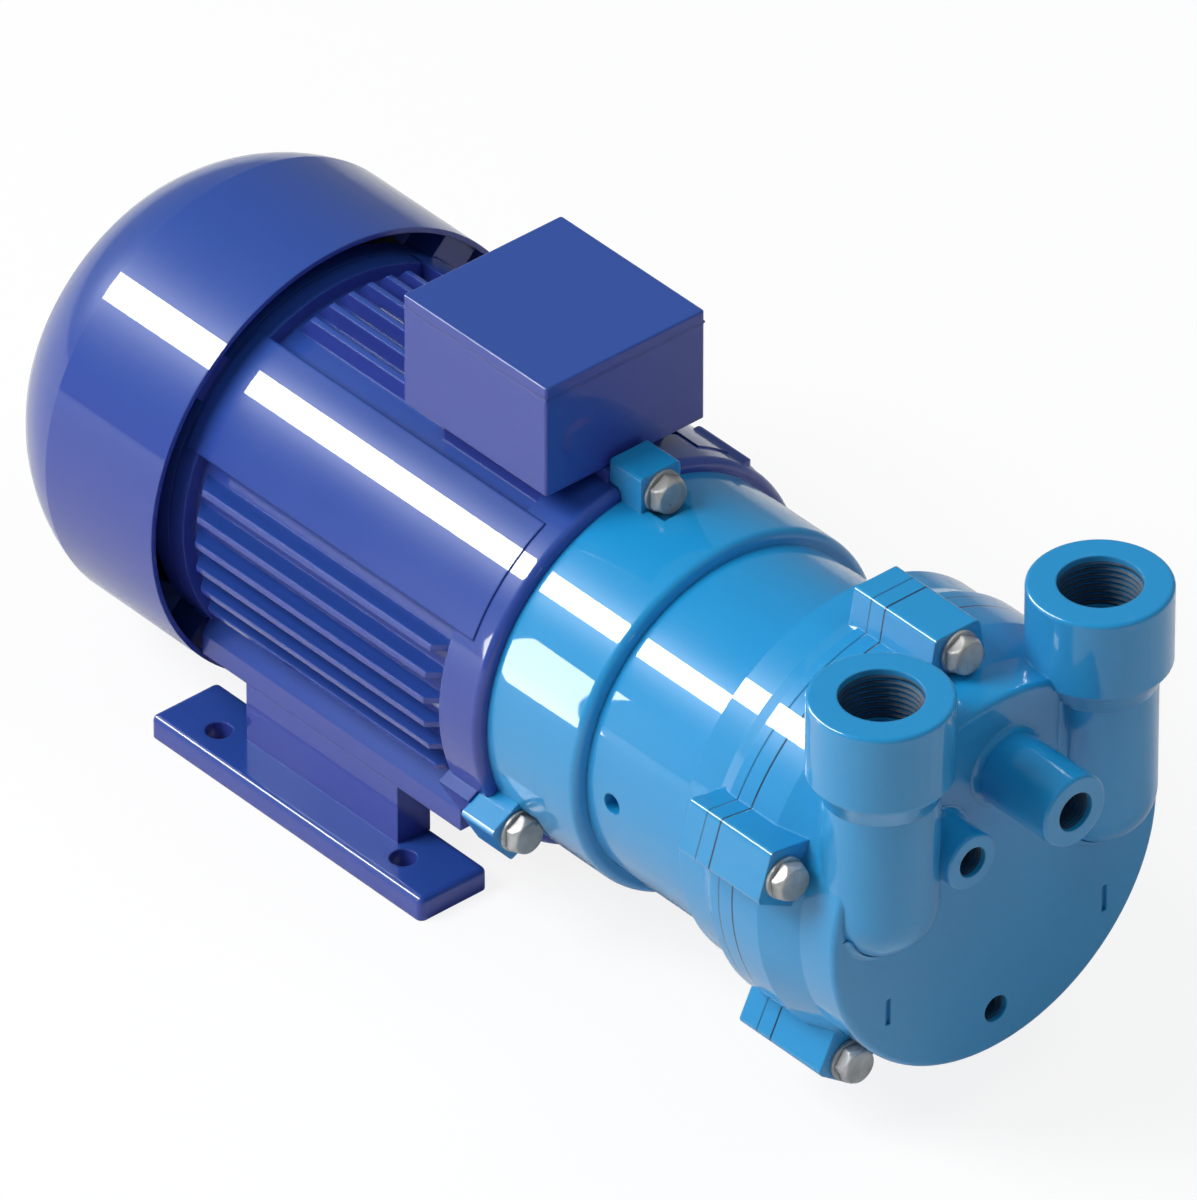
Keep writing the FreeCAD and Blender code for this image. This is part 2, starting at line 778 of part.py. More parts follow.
def make_rotor_shaft():
    """Stepped shaft from the fan end to the impeller end."""
    front_end = front_bearing_x + front_bearing_width + bearing_clip_thickness
    rear_end = rear_bearing_x + rear_bearing_width
    seal_start = seal_wall_x - seal_hub_length
    middle_r = shaft_core_r - shaft_relief
    chamfer = 1.0
    shaft = turned([
        (shaft_rear_x, 0), (shaft_rear_x, fan_seat_r - chamfer), (shaft_rear_x + chamfer, fan_seat_r),
        (fan_front_x, fan_seat_r), (fan_front_x, fan_shoulder_r),
        (rear_bearing_x - rear_shoulder_length, fan_shoulder_r),
        (rear_bearing_x - rear_shoulder_length, rear_bearing_bore_r), (rear_end, rear_bearing_bore_r),
        (rear_end, middle_r), (core_back_x, middle_r), (core_back_x, shaft_core_r - fit_gap),
        (core_front_x, shaft_core_r - fit_gap), (core_front_x, shaft_shoulder_r),
        (front_bearing_x, shaft_shoulder_r), (front_bearing_x, front_bearing_bore_r),
        (front_end, front_bearing_bore_r), (front_end, shaft_bracket_r),
        (seal_start, shaft_bracket_r), (seal_start, shaft_seal_r), (impeller_rear_x, shaft_seal_r),
        (impeller_rear_x, impeller_seat_r), (impeller_front_x - chamfer, impeller_seat_r),
        (impeller_front_x - chamfer, 0)])
    keyway = key_room(impeller_rear_x + key_start, impeller_front_x, impeller_seat_r)
    fan_keyway = key_room(fan_rear_x + key_end_gap, fan_front_x - key_end_gap, fan_seat_r)
    thread = rod(impeller_front_x - shaft_thread_depth, impeller_front_x, m8_bolt[1] + thread_gap)
    return without(shaft, [keyway, thread, fan_keyway])


def key_room(x0, x1, seat_r):
    return block(x0, x1, -key_width / 2, key_width / 2, seat_r - key_height / 2, seat_r + key_height)


def make_key(x0, x1, seat_r):
    side = fit_gap / 2
    return block(x0, x1, -key_width / 2 + side, key_width / 2 - side,
                 seat_r - key_height / 2, seat_r + key_height / 2)


def make_impeller_key():
    return make_key(impeller_rear_x + key_start, impeller_front_x - key_end_gap, impeller_seat_r)


def make_fan_key():
    return make_key(fan_rear_x + key_end_gap, fan_front_x - key_end_gap, fan_seat_r)


def make_cooling_fan():
    """Hub, dished disc and straight blades that work in both directions of turning."""
    hub = turned([
        (fan_rear_x, 0), (fan_rear_x, fan_hub_r - 3.0), (fan_front_x, fan_hub_r), (fan_front_x, 0)])
    disc = turned([
        (fan_front_x - fan_dish, 0), (fan_front_x - fan_dish, fan_hub_r),
        (fan_front_x - fan_disc_thickness, fan_r), (fan_front_x, fan_r),
        (fan_front_x - fan_dish / 2, fan_hub_r), (fan_front_x - fan_dish / 2, 0)])
    blade = block(fan_rear_x + 2.0, fan_front_x - 1.0, fan_blade_inner_r, fan_r + 5.0,
                  -fan_blade_thickness / 2, fan_blade_thickness / 2)
    blade_room = turned([
        (fan_rear_x, 0), (fan_rear_x, fan_r - fan_corner), (fan_rear_x + fan_corner, fan_r),
        (fan_front_x, fan_r), (fan_front_x - fan_dish * 0.75, fan_hub_r),
        (fan_front_x - fan_dish * 0.75, 0)])
    blades = [item.common(blade_room) for item in around(blade, fan_blade_count)]
    body = joined([hub, disc] + blades)
    bore = rod(fan_rear_x - 1.0, fan_front_x + 1.0, fan_seat_r + fit_gap)
    slot = block(fan_rear_x - 1.0, fan_front_x + 1.0, -key_width / 2, key_width / 2, 0,
                 fan_seat_r + key_height / 2 + fit_gap)
    return without(body, [bore, slot])


def make_fan_clip():
    return ring(fan_rear_x - fan_clip_thickness, fan_rear_x, fan_seat_r + fit_gap,
                fan_seat_r + fan_clip_height)


def rounded_box(x0, x1, y0, y1, z0, z1, radius):
    """Box with rounded upright corners."""
    return rounded(block(x0, x1, y0, y1, z0, z1), radius,
                   lambda edge: abs(edge.Vertexes[0].Z - edge.Vertexes[1].Z) > 0.5)


def make_terminal_box():
    outside = rounded_box(box_rear_x, box_front_x, -box_half_width, box_half_width, box_bottom_z,
                          lid_bottom_z - gasket_thickness, box_edge_r)
    inside = block(box_rear_x + box_wall, box_front_x - box_wall, -box_half_width + box_wall,
                   box_half_width - box_wall, block_bottom_z, box_top_z)
    tools = [inside, post(box_bottom_z - 1.0, block_bottom_z + 1.0, wiring_hole_r, box_middle_x, 0)]
    for x in entry_places():
        tools.append(Part.makeCylinder(entry_r, box_wall + 2.0,
                                       Vector(x, box_half_width - box_wall - 1.0, entry_z), y_axis))
    for place, outward in lid_screw_places():
        tools.append(Part.makeCylinder(m4_screw[0] + lid_screw_gap, box_wall + 2.0,
                                       place - outward * (box_wall + 1.0), outward))
    return without(outside, tools)


def entry_places():
    return [box_middle_x - entry_pitch / 2, box_middle_x + entry_pitch / 2]


def lid_screw_places():
    """Seat and outward direction of the four lid screws, on the two sides away from the pump."""
    z = lid_bottom_z - gasket_thickness - lid_screw_drop
    rear = [(Vector(box_rear_x, side * lid_screw_side_y, z), -x_axis) for side in (-1, 1)]
    far = [(Vector(box_middle_x + side * lid_screw_pitch / 2, box_half_width, z), y_axis)
           for side in (-1, 1)]
    return rear + far


def make_terminal_gasket():
    outside = block(box_rear_x, box_front_x, -box_half_width, box_half_width,
                    lid_bottom_z - gasket_thickness, lid_bottom_z)
    inside = block(box_rear_x + box_wall, box_front_x - box_wall, -box_half_width + box_wall,
                   box_half_width - box_wall, box_bottom_z, box_top_z)
    return outside.cut(inside)


def make_terminal_lid():
    """Lid with two hanging tongues that take the lid screws."""
    plate = rounded_box(box_rear_x, box_front_x, -box_half_width, box_half_width, lid_bottom_z,
                        box_top_z, box_edge_r)
    plate = rounded(plate, lid_edge_r, lambda edge: min(v.Z for v in edge.Vertexes) > box_top_z - 0.1)
    bottom = lid_bottom_z - lid_tongue_depth
    rear_x = box_rear_x + box_wall
    far_y = box_half_width - box_wall
    rear = block(rear_x + running_gap, rear_x + lid_tongue_thickness,
                 -lid_rear_tongue_length / 2, lid_rear_tongue_length / 2, bottom, lid_bottom_z)
    far = block(box_middle_x - lid_far_tongue_length / 2, box_middle_x + lid_far_tongue_length / 2,
                far_y - lid_tongue_thickness, far_y - running_gap, bottom, lid_bottom_z)
    tools = []
    for place, outward in lid_screw_places():
        start = place - outward * (box_wall + lid_thread_depth)
        tools.append(Part.makeCylinder(m4_screw[1] + thread_gap, lid_thread_depth + 1.0, start,
                                       outward))
    return without(joined([plate, rear, far]), tools)


def make_lid_screws():
    screw = socket_screw(m4_screw, box_wall + running_gap, lid_thread_depth - 1.0)
    return group([placed(screw, place, outward) for place, outward in lid_screw_places()])


def stud_places():
    return [(box_middle_x + i * stud_pitch_x, terminal_middle_y + side * stud_pitch_y / 2)
            for i in (-1, 0, 1) for side in (-1, 1)]


def make_terminal_block():
    y0 = terminal_middle_y - terminal_block_width / 2
    y1 = terminal_middle_y + terminal_block_width / 2
    top = block_bottom_z + terminal_block_height
    half = terminal_block_length / 2
    base = block(box_middle_x - half, box_middle_x + half, y0, y1, block_bottom_z, top)
    ridges = [block(x - 1.0, x + 1.0, y0, y1, top - 1.0, top + terminal_ridge)
              for x in (box_middle_x - stud_pitch_x / 2, box_middle_x + stud_pitch_x / 2)]
    tools = [post(top - stud_depth, top + 1.0, m4_screw[0] + stud_gap, x, y) for x, y in stud_places()]
    return without(joined([base] + ridges), tools)


def make_terminal_studs():
    top = block_bottom_z + terminal_block_height
    studs = []
    for x, y in stud_places():
        pin = post(top - stud_depth, top - stud_depth + stud_length, m4_screw[0], x, y)
        nut = hexagon(0, nut_height, nut_half_flat)
        nut.rotate(Vector(0, 0, 0), y_axis, -90)
        nut.translate(Vector(x, y, top + link_thickness))
        studs.append(pin.fuse(nut))
    return group(studs)


def make_terminal_links():
    top = block_bottom_z + terminal_block_height
    links = []
    for i in (-1, 0, 1):
        x = box_middle_x + i * stud_pitch_x
        strap = block(x - link_width / 2, x + link_width / 2, terminal_middle_y - link_length / 2,
                      terminal_middle_y + link_length / 2, top, top + link_thickness)
        holes = [post(top - 1.0, top + link_thickness + 1.0, m4_screw[0] + stud_gap, x,
                      terminal_middle_y + side * stud_pitch_y / 2) for side in (-1, 1)]
        links.append(without(strap, holes))
    return group(links)


def make_entry_plugs():
    plugs = []
    top_y = box_half_width + plug_head_height
    for x in entry_places():
        head = Part.makeCylinder(plug_head_r, plug_head_height, Vector(x, box_half_width, entry_z),
                                 y_axis)
        stem = Part.makeCylinder(entry_r - fit_gap, 2 * box_wall,
                                 Vector(x, box_half_width - 2 * box_wall, entry_z), y_axis)
        slot = block(x - plug_slot_length / 2, x + plug_slot_length / 2, top_y - plug_head_height / 2,
                     top_y + 1.0, entry_z - plug_slot_width / 2, entry_z + plug_slot_width / 2)
        plugs.append(head.fuse(stem).cut(slot))
    return group(plugs)


def make_drive_bracket():
    """Round housing with the front bearing seat in its web and the register of the casing."""
    bearing_end = front_bearing_x + front_bearing_width
    seat_r = front_bearing_r + fit_gap
    hub_r = seat_r + bracket_hub_wall
    hub_rear = front_bearing_x - bracket_hub_rear
    cap_r = front_bearing_bore_r + bracket_cap_inner
    web_front = bracket_web_x + bracket_web_thickness
    wall_back = bracket_length - register_depth
    inner = bracket_r - bracket_wall
    rear_inner = inner - bolt_hole_gap
    body = turned([
        (-bracket_spigot, core_r), (0, core_r), (0, bracket_r), (bracket_length, bracket_r),
        (bracket_length, register_r), (wall_back, register_r), (wall_back, inner), (web_front, inner),
        (web_front, cap_r), (bearing_end, cap_r), (bearing_end, seat_r), (hub_rear, seat_r),
        (hub_rear, hub_r), (bracket_web_x, hub_r), (bracket_web_x, rear_inner),
        (-bracket_spigot, rear_inner)])
    body = rounded(body, bracket_edge_r, lambda edge: is_circle(edge, bracket_r, bracket_length))
    lug = prism(bracket_lug_outline(), bracket_lug_rear_x, bracket_lug_front_x)
    lug = tip_rounded(lug, bracket_lug_outer_r, bracket_lug_edge_r)
    body = joined([body] + around(lug, bracket_bolt_count, 90.0))
    hole = rod(bracket_lug_rear_x - 1.0, bracket_lug_front_x + 1.0, m8_bolt[0] + bolt_hole_gap,
               bracket_bolt_r)
    spot_face = rod(bracket_lug_front_x, bracket_lug_front_x + spot_face_depth,
                    bolt_washer_r + bolt_hole_gap, bracket_bolt_r)
    screw_hole = rod(wall_back - 1.0, bracket_length + 1.0, m6_screw[0] + running_gap, casing_screw_r)
    key_access = rod(bracket_web_x - 1.0, web_front + 1.0, m6_screw[2] + 2 * bolt_hole_gap,
                     casing_screw_r)
    tools = around(hole, bracket_bolt_count, 90.0)
    tools += around(spot_face, bracket_bolt_count, 90.0)
    tools += around(screw_hole, casing_screw_count, 45.0)
    tools += around(key_access, casing_screw_count, 45.0)
    return without(body, tools)


def make_bracket_bolts():
    bolt = hex_bolt(bracket_lug_front_x + bolt_washer_thickness, bracket_lug_rear_x,
                    bracket_lug_rear_x - bracket_bolt_reach, m8_bolt, bracket_bolt_r)
    return group(around(bolt, bracket_bolt_count, 90.0))


def bolt_washer(seat_x, radius, z=0.0):
    return ring(seat_x, seat_x + bolt_washer_thickness, m8_bolt[0] + 0.2, bolt_washer_r, radius, z)


def make_bracket_washers():
    return group(around(bolt_washer(bracket_lug_front_x, bracket_bolt_r), bracket_bolt_count, 90.0))


def make_casing_screws():
    wall_back = bracket_length - register_depth
    screw = socket_screw(m6_screw, register_depth, casing_screw_thread)
    seat = Vector(wall_back, casing_screw_r, 0)
    return group(around(placed(screw, seat, -x_axis), casing_screw_count, 45.0))


def make_pump_casing():
    """Neck on the shaft axis; the drum around the chamber lies higher and meets the neck below."""
    register_x = bracket_length - register_depth
    spigot = rod(register_x + seat_gap, bracket_length + 1.0, register_r - fit_gap)
    neck = rod(bracket_length, flare_start_x, casing_neck_r)
    drum_lift = drum_r - casing_neck_r
    flare = tapered(flare_start_x, casing_neck_r, 0, flare_end_x, drum_r, drum_lift)
    drum = rod(flare_end_x, drum_end_x, drum_r, 0, drum_lift)
    swell = tapered(drum_end_x, drum_r, drum_lift, flange_start_x, flange_r, eccentricity)
    flange = rod(flange_start_x, casing_front_x, flange_r, 0, eccentricity)
    body = joined([spigot, neck, flare, drum, swell, flange]
                  + pump_lugs(casing_lug_rear_x, casing_front_x))
    room_start = bracket_length + neck_room_start
    room_end = seal_wall_x - neck_room_end
    hub_start = seal_wall_x - seal_hub_length
    seat_start = seal_wall_x - seal_room_length
    room_r = casing_neck_r - casing_neck_wall
    room = rod(room_start, room_end, room_r).cut(rod(hub_start, room_end, seal_hub_r))
    entry = rod(register_x - 1.0, room_start + 1.0, register_r - register_depth)
    lip = rod(hub_start - 1.0, seal_wall_x, shaft_bracket_r + seal_step)
    seat_bore = rod(seat_start, seal_wall_x, seat_bore_r)
    seal_room = rod(seat_start + seat_thickness, seal_wall_x + 1.0, seal_cavity_r)
    chamber = rod(seal_wall_x, casing_front_x + 1.0, chamber_r, 0, eccentricity)
    groove = ring(casing_front_x - gasket_depth, casing_front_x + 1.0, gasket_r - gasket_width / 2,
                  gasket_r + gasket_width / 2, 0, eccentricity)
    side_hole = Part.makeCylinder(side_hole_r, 2 * casing_neck_wall,
                                  Vector(side_hole_x, -room_r + casing_neck_wall / 2, 0), -y_axis)
    screw_thread = rod(bracket_length - 1.0, bracket_length + casing_screw_thread + 0.5,
                       m6_screw[1] + thread_gap, casing_screw_r)
    tools = [room, entry, lip, seat_bore, seal_room, chamber, groove, side_hole]
    tools += lug_holes(casing_lug_rear_x - 1.0, casing_front_x + 1.0, m8_bolt[1] + thread_gap)
    tools += around(screw_thread, casing_screw_count, 45.0)
    return without(body, tools)


def make_chamber_gasket(x0):
    return ring(x0, x0 + gasket_depth, gasket_r - gasket_width / 2 + fit_gap,
                gasket_r + gasket_width / 2 - fit_gap, 0, eccentricity)


def crescent(start, end, x0, x1):
    """Curved opening about the shaft axis with half-round ends."""
    middle = (port_inner_r + port_outer_r) / 2
    half = (port_outer_r - port_inner_r) / 2
    section = Part.Face(Part.makePolygon([
        Vector(x0, port_inner_r, 0), Vector(x1, port_inner_r, 0), Vector(x1, port_outer_r, 0),
        Vector(x0, port_outer_r, 0), Vector(x0, port_inner_r, 0)]))
    sector = turned_by(section.revolve(Vector(0, 0, 0), x_axis, end - start), start)
    tips = [turned_by(rod(x0, x1, half, middle), angle) for angle in (start, end)]
    return joined([sector] + tips)


def make_port_plate():
    """Plate with the suction crescent, the discharge crescent and the valve holes."""
    x0 = casing_front_x
    x1 = plate_front_x
    body = joined([rod(x0, x1, flange_r, 0, eccentricity)] + pump_lugs(x0, x1))
    tools = [rod(x0 - 1.0, x1 + 1.0, nut_room_r)]
    tools.append(crescent(*suction_port_angles, x0 - 1.0, x1 + 1.0))
    tools.append(crescent(*discharge_port_angles, x0 - 1.0, x1 + 1.0))
    middle = (port_inner_r + port_outer_r) / 2
    for angle in valve_hole_angles:
        tools.append(turned_by(rod(x0 - 1.0, x1 + 1.0, valve_hole_r, middle), angle))
    tools.append(rod(x0 - 1.0, x1 + 1.0, drain_inner_r, 0, drain_z))
    tools.append(rod(x0 - 1.0, x1 + 1.0, supply_thread_r - passage_step, supply_y, supply_z))
    tools += lug_holes(x0 - 1.0, x1 + 1.0, m8_bolt[0] + bolt_hole_gap)
    for y, z in valve_screw_places():
        tools.append(rod(x1 - valve_screw_thread - 1.0, x1 + 1.0, m4_screw[1] + thread_gap, y, z))
    return without(body, tools)


def valve_screw_places():
    radius = port_outer_r + valve_screw_offset
    angles = [math.radians(angle) for angle in valve_screw_angles]
    return [(radius * math.cos(angle), radius * math.sin(angle)) for angle in angles]


def make_valve_plate():
    """Thin spring flap that covers the valve holes on the cover side."""
    x1 = plate_front_x + valve_thickness
    flap = crescent(valve_hole_angles[0] - valve_flap_angle, valve_hole_angles[-1] + valve_flap_angle,
                    plate_front_x, x1)
    ears = [rod(plate_front_x, x1, valve_ear_r, y, z) for y, z in valve_screw_places()]
    holes = [rod(plate_front_x - 1.0, x1 + 1.0, m4_screw[0] + seat_gap, y, z)
             for y, z in valve_screw_places()]
    return without(joined([flap] + ears), holes)


def make_valve_screws():
    screw = socket_screw(m4_screw, valve_thickness, valve_screw_thread)
    seat_x = plate_front_x + valve_thickness
    return group([placed(screw, Vector(seat_x, y, z), x_axis) for y, z in valve_screw_places()])


def port_tube(side):
    """Tube that runs up the cover face and widens to a threaded socket."""
    y = side * port_y
    foot = Part.makeSphere(port_tube_r, Vector(port_x, y, port_foot_z))
    tube = post(port_foot_z, socket_bottom_z + 1.0, port_tube_r, port_x, y)
    socket = post(socket_bottom_z, port_top_z, socket_r, port_x, y)
    socket = rounded(socket, socket_edge_r, lambda edge: isinstance(edge.Curve, Part.Circle))
    return joined([foot, tube, socket])


def port_bore(side):
    y = side * port_y
    passage = post(port_foot_z + 4.0, port_top_z, port_bore_r, port_x, y)
    thread = post(port_top_z - socket_thread_length, port_top_z + 1.0, socket_thread_r, port_x, y)
    return passage.fuse(thread)


def face_stub(y, z, outer_r, length):
    """Round stub that stands out of the cover face."""
    stub = rod(face_x - cover_wall, face_x + length, outer_r, y, z)
    return rounded(stub, stub_edge_r, lambda edge: is_circle(edge, outer_r, face_x + length))


def stub_bore(y, z, start, length, thread_r, thread_length):
    end = face_x + length
    passage = rod(start, end, thread_r - passage_step, y, z)
    return passage.fuse(rod(end - thread_length, end + 1.0, thread_r, y, z))


def make_pump_cover():
    """Cover in one casting: flange, two chambers, two port tubes and two stubs."""
    x0 = plate_front_x
    flange_end = x0 + cover_flange_length
    ring_end = x0 + cover_ring_length
    cone_end = ring_end + cover_cone_length
    body = turned([
        (x0, 0), (x0, flange_r), (ring_end, flange_r), (cone_end, cover_face_r),
        (face_x, cover_face_r), (face_x, 0)], 0, eccentricity)
    body = rounded(body, cover_edge_r, lambda edge: is_circle(edge, cover_face_r, face_x))
    body = joined([body] + pump_lugs(x0, flange_end))
    cavity = rod(x0 - 1.0, face_x - cover_wall, cover_cavity_r, 0, eccentricity)
    kept = [
        block(x0 - 2.0, face_x, -cover_rib / 2, cover_rib / 2, -2 * flange_r, 2 * flange_r),
        rod(x0 - 2.0, face_x, cover_hub_r),
        rod(x0 - 2.0, face_x, supply_thread_r + boss_wall, supply_y, supply_z),
        rod(x0 - 2.0, face_x, drain_r + boss_wall, 0, drain_z)]
    cavity = without(cavity, kept)
    body = body.cut(cavity)
    body = joined([
        body, port_tube(-1), port_tube(1),
        face_stub(supply_y, supply_z, supply_r, supply_length),
        face_stub(gauge_y, gauge_z, gauge_r, gauge_length)])
    tools = [port_bore(-1), port_bore(1)]
    tools.append(stub_bore(supply_y, supply_z, x0 - 1.0, supply_length, supply_thread_r,
                           supply_thread_length))
    tools.append(stub_bore(gauge_y, gauge_z, face_x - cover_wall - 1.0, gauge_length, gauge_thread_r,
                           gauge_thread_length))
    tools.append(rod(x0 - 1.0, x0 + nut_room_length, nut_room_r))
    tools.append(ring(x0 - 1.0, x0 + gasket_depth, gasket_r - gasket_width / 2,
                      gasket_r + gasket_width / 2, 0, eccentricity))
    tools.append(rod(face_x - drain_thread_length, face_x + 1.0, drain_r, 0, drain_z))
    tools.append(rod(x0 - 1.0, face_x, drain_inner_r, 0, drain_z))
    for side in (-1, 1):
        y = side * face_slot_y
        tools.append(block(face_x - face_slot_depth, face_x + 1.0, y - face_slot_width / 2,
                           y + face_slot_width / 2, face_slot_z - face_slot_height / 2,
                           face_slot_z + face_slot_height / 2))
    tools += lug_holes(x0 - 1.0, flange_end + 1.0, m8_bolt[0] + bolt_hole_gap)
    tools += lug_holes(flange_end, flange_end + spot_face_depth, bolt_washer_r + bolt_hole_gap)
    return without(body, tools)


def make_cover_bolts():
    seat = plate_front_x + cover_flange_length + bolt_washer_thickness
    bolt = hex_bolt(seat, casing_front_x, casing_lug_rear_x + 1.0, m8_bolt, lug_bolt_r)
    bolt.translate(Vector(0, 0, eccentricity))
    return group(around(bolt, lug_count, lug_first_angle, eccentricity))


def make_cover_washers():
    washer = bolt_washer(plate_front_x + cover_flange_length, lug_bolt_r, eccentricity)
    return group(around(washer, lug_count, lug_first_angle, eccentricity))


def make_impeller():
    """Hub, back disc and forward-curved blades, free at the front."""
    hub = rod(impeller_rear_x, impeller_front_x, impeller_hub_r)
    disc = rod(impeller_rear_x, impeller_rear_x + impeller_disc_thickness, impeller_disc_r)

    def rim(radius, angle):
        turn = math.radians(angle)
        return Vector(impeller_rear_x, radius * math.cos(turn), radius * math.sin(turn))

    root = impeller_hub_r - 2.0
    tip = impeller_r + 4.0
    middle = (root + tip) / 2
    step_root = math.degrees(blade_thickness * 1.25 / root)
    step_middle = math.degrees(blade_thickness / middle)
    step_tip = math.degrees(blade_thickness * 0.8 / tip)
    bend = blade_sweep * 0.3
    leading = Part.Arc(rim(root, 0), rim(middle, bend), rim(tip, blade_sweep))
    trailing = Part.Arc(rim(tip, blade_sweep + step_tip), rim(middle, bend + step_middle),
                        rim(root, step_root))
    wire = Part.Wire([
        leading.toShape(), Part.makeLine(rim(tip, blade_sweep), rim(tip, blade_sweep + step_tip)),
        trailing.toShape(), Part.makeLine(rim(root, step_root), rim(root, 0))])
    blade = Part.Face(wire).extrude(Vector(impeller_front_x - impeller_rear_x, 0, 0))
    blade = blade.common(rod(impeller_rear_x - 1.0, impeller_front_x + 1.0, impeller_r))
    body = joined([hub, disc] + around(blade, blade_count))
    bore = rod(impeller_rear_x - 1.0, impeller_front_x + 1.0, impeller_seat_r + fit_gap)
    slot = block(impeller_rear_x - 1.0, impeller_front_x + 1.0, -key_width / 2, key_width / 2, 0,
                 impeller_seat_r + key_height / 2 + fit_gap)
    return without(body, [bore, slot])


def make_impeller_washer():
    return ring(impeller_front_x, impeller_front_x + impeller_washer_thickness,
                m8_bolt[0] + seat_gap, impeller_washer_r)


def make_impeller_screw():
    seat = impeller_front_x + impeller_washer_thickness
    return hex_bolt(seat, impeller_front_x - 1.0, impeller_front_x - shaft_thread_depth + 3.0,
                    m8_bolt, 0.0)


def make_seal_seat():
    rear = seal_wall_x - seal_room_length
    return ring(rear, rear + seat_thickness, shaft_seal_r + running_gap, seat_bore_r - fit_gap)


def make_seal_ring():
    rear = seal_wall_x - seal_room_length + seat_thickness
    return ring(rear + seal_face_gap, rear + seal_face_length, shaft_seal_r + fit_gap, seal_ring_r)


def make_seal_carrier():
    """Conical carrier of the seal ring, closed against the impeller hub."""
    rear = seal_wall_x - seal_room_length + seat_thickness + seal_face_length
    front = impeller_rear_x
    inner = shaft_seal_r + fit_gap
    rear_r = seal_ring_r - seal_carrier_step
    front_r = seal_ring_r + seal_step
    return turned([
        (rear, inner), (rear, rear_r), (rear + seal_step, rear_r), (front - seal_step, front_r),
        (front, front_r), (front, inner)])


def make_bearing_clip():
    x = front_bearing_x + front_bearing_width
    return ring(x, x + bearing_clip_thickness, front_bearing_bore_r + fit_gap,
                front_bearing_bore_r + bearing_clip_height)


def make_slinger():
    """Rubber ring that throws water off the shaft in front of the bearing."""
    x = bracket_web_x + bracket_web_thickness + 2.0
    inner = shaft_bracket_r + fit_gap
    rim = shaft_bracket_r + slinger_height
    hub = shaft_bracket_r + slinger_hub_height
    return turned([
        (x, inner), (x, rim), (x + 1.6, rim), (x + 3.0, hub), (x + slinger_length, hub),
        (x + slinger_length, inner)])


pieces = {
    "stator_frame": make_stator_frame(),
    "foot_left": make_foot(),
    "foot_right": mirrored(make_foot()),
    "foot_screws": make_foot_screws(),
    "fan_cowl": make_fan_cowl(),
    "rear_end_shield": make_rear_shield(),
    "end_shield_screws": make_shield_screws(),
    "stator_core": make_stator_core(),
    "stator_winding": make_stator_winding(),
    "terminal_box": make_terminal_box(),
    "terminal_box_gasket": make_terminal_gasket(),
    "terminal_box_lid": make_terminal_lid(),
    "lid_screws": make_lid_screws(),
    "terminal_block": make_terminal_block(),
    "terminal_studs": make_terminal_studs(),
    "terminal_links": make_terminal_links(),
    "cable_entry_plugs": make_entry_plugs(),
    "drive_bracket": make_drive_bracket(),
    "bracket_bolts": make_bracket_bolts(),
    "bracket_washers": make_bracket_washers(),
    "casing_screws": make_casing_screws(),
    "pump_casing": make_pump_casing(),
    "casing_gasket": make_chamber_gasket(casing_front_x - gasket_depth),
    "port_plate": make_port_plate(),
    "cover_gasket": make_chamber_gasket(plate_front_x),
    "discharge_valve_plate": make_valve_plate(),
    "valve_plate_screws": make_valve_screws(),
    "pump_cover": make_pump_cover(),
    "cover_bolts": make_cover_bolts(),
    "cover_washers": make_cover_washers(),
    "seal_seat": make_seal_seat(),
    "front_bearing_outer_ring": bearing_ring(front_bearing, front_bearing_x, True),
    "rear_bearing_outer_ring": bearing_ring(rear_bearing, rear_bearing_x, True),
    "front_bearing_inner_ring": bearing_ring(front_bearing, front_bearing_x, False),
    "rear_bearing_inner_ring": bearing_ring(rear_bearing, rear_bearing_x, False),
    "front_bearing_balls": bearing_balls(front_bearing, front_bearing_x),
    "front_bearing_cage": bearing_cage(front_bearing, front_bearing_x),
    "rear_bearing_balls": bearing_balls(rear_bearing, rear_bearing_x),
    "rear_bearing_cage": bearing_cage(rear_bearing, rear_bearing_x),
    "bearing_circlip": make_bearing_clip(),
    "shaft_slinger": make_slinger(),
    "rotor_shaft": make_rotor_shaft(),
    "rotor_core": make_rotor_core(),
    "rotor_cage_rings": make_rotor_cage(),
    "cooling_fan": make_cooling_fan(),
    "fan_key": make_fan_key(),
    "fan_circlip": make_fan_clip(),
    "impeller": make_impeller(),
    "impeller_key": make_impeller_key(),
    "impeller_washer": make_impeller_washer(),
    "impeller_screw": make_impeller_screw(),
    "seal_ring": make_seal_ring(),
    "seal_carrier": make_seal_carrier(),
}

for name, shape in pieces.items():
    shape.translate(Vector(feet_to_joint, 0, shaft_height))
    shape.exportStep("parts/" + name + ".step")
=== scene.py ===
import json
import math

import bmesh
import bpy
from mathutils import Matrix, Vector


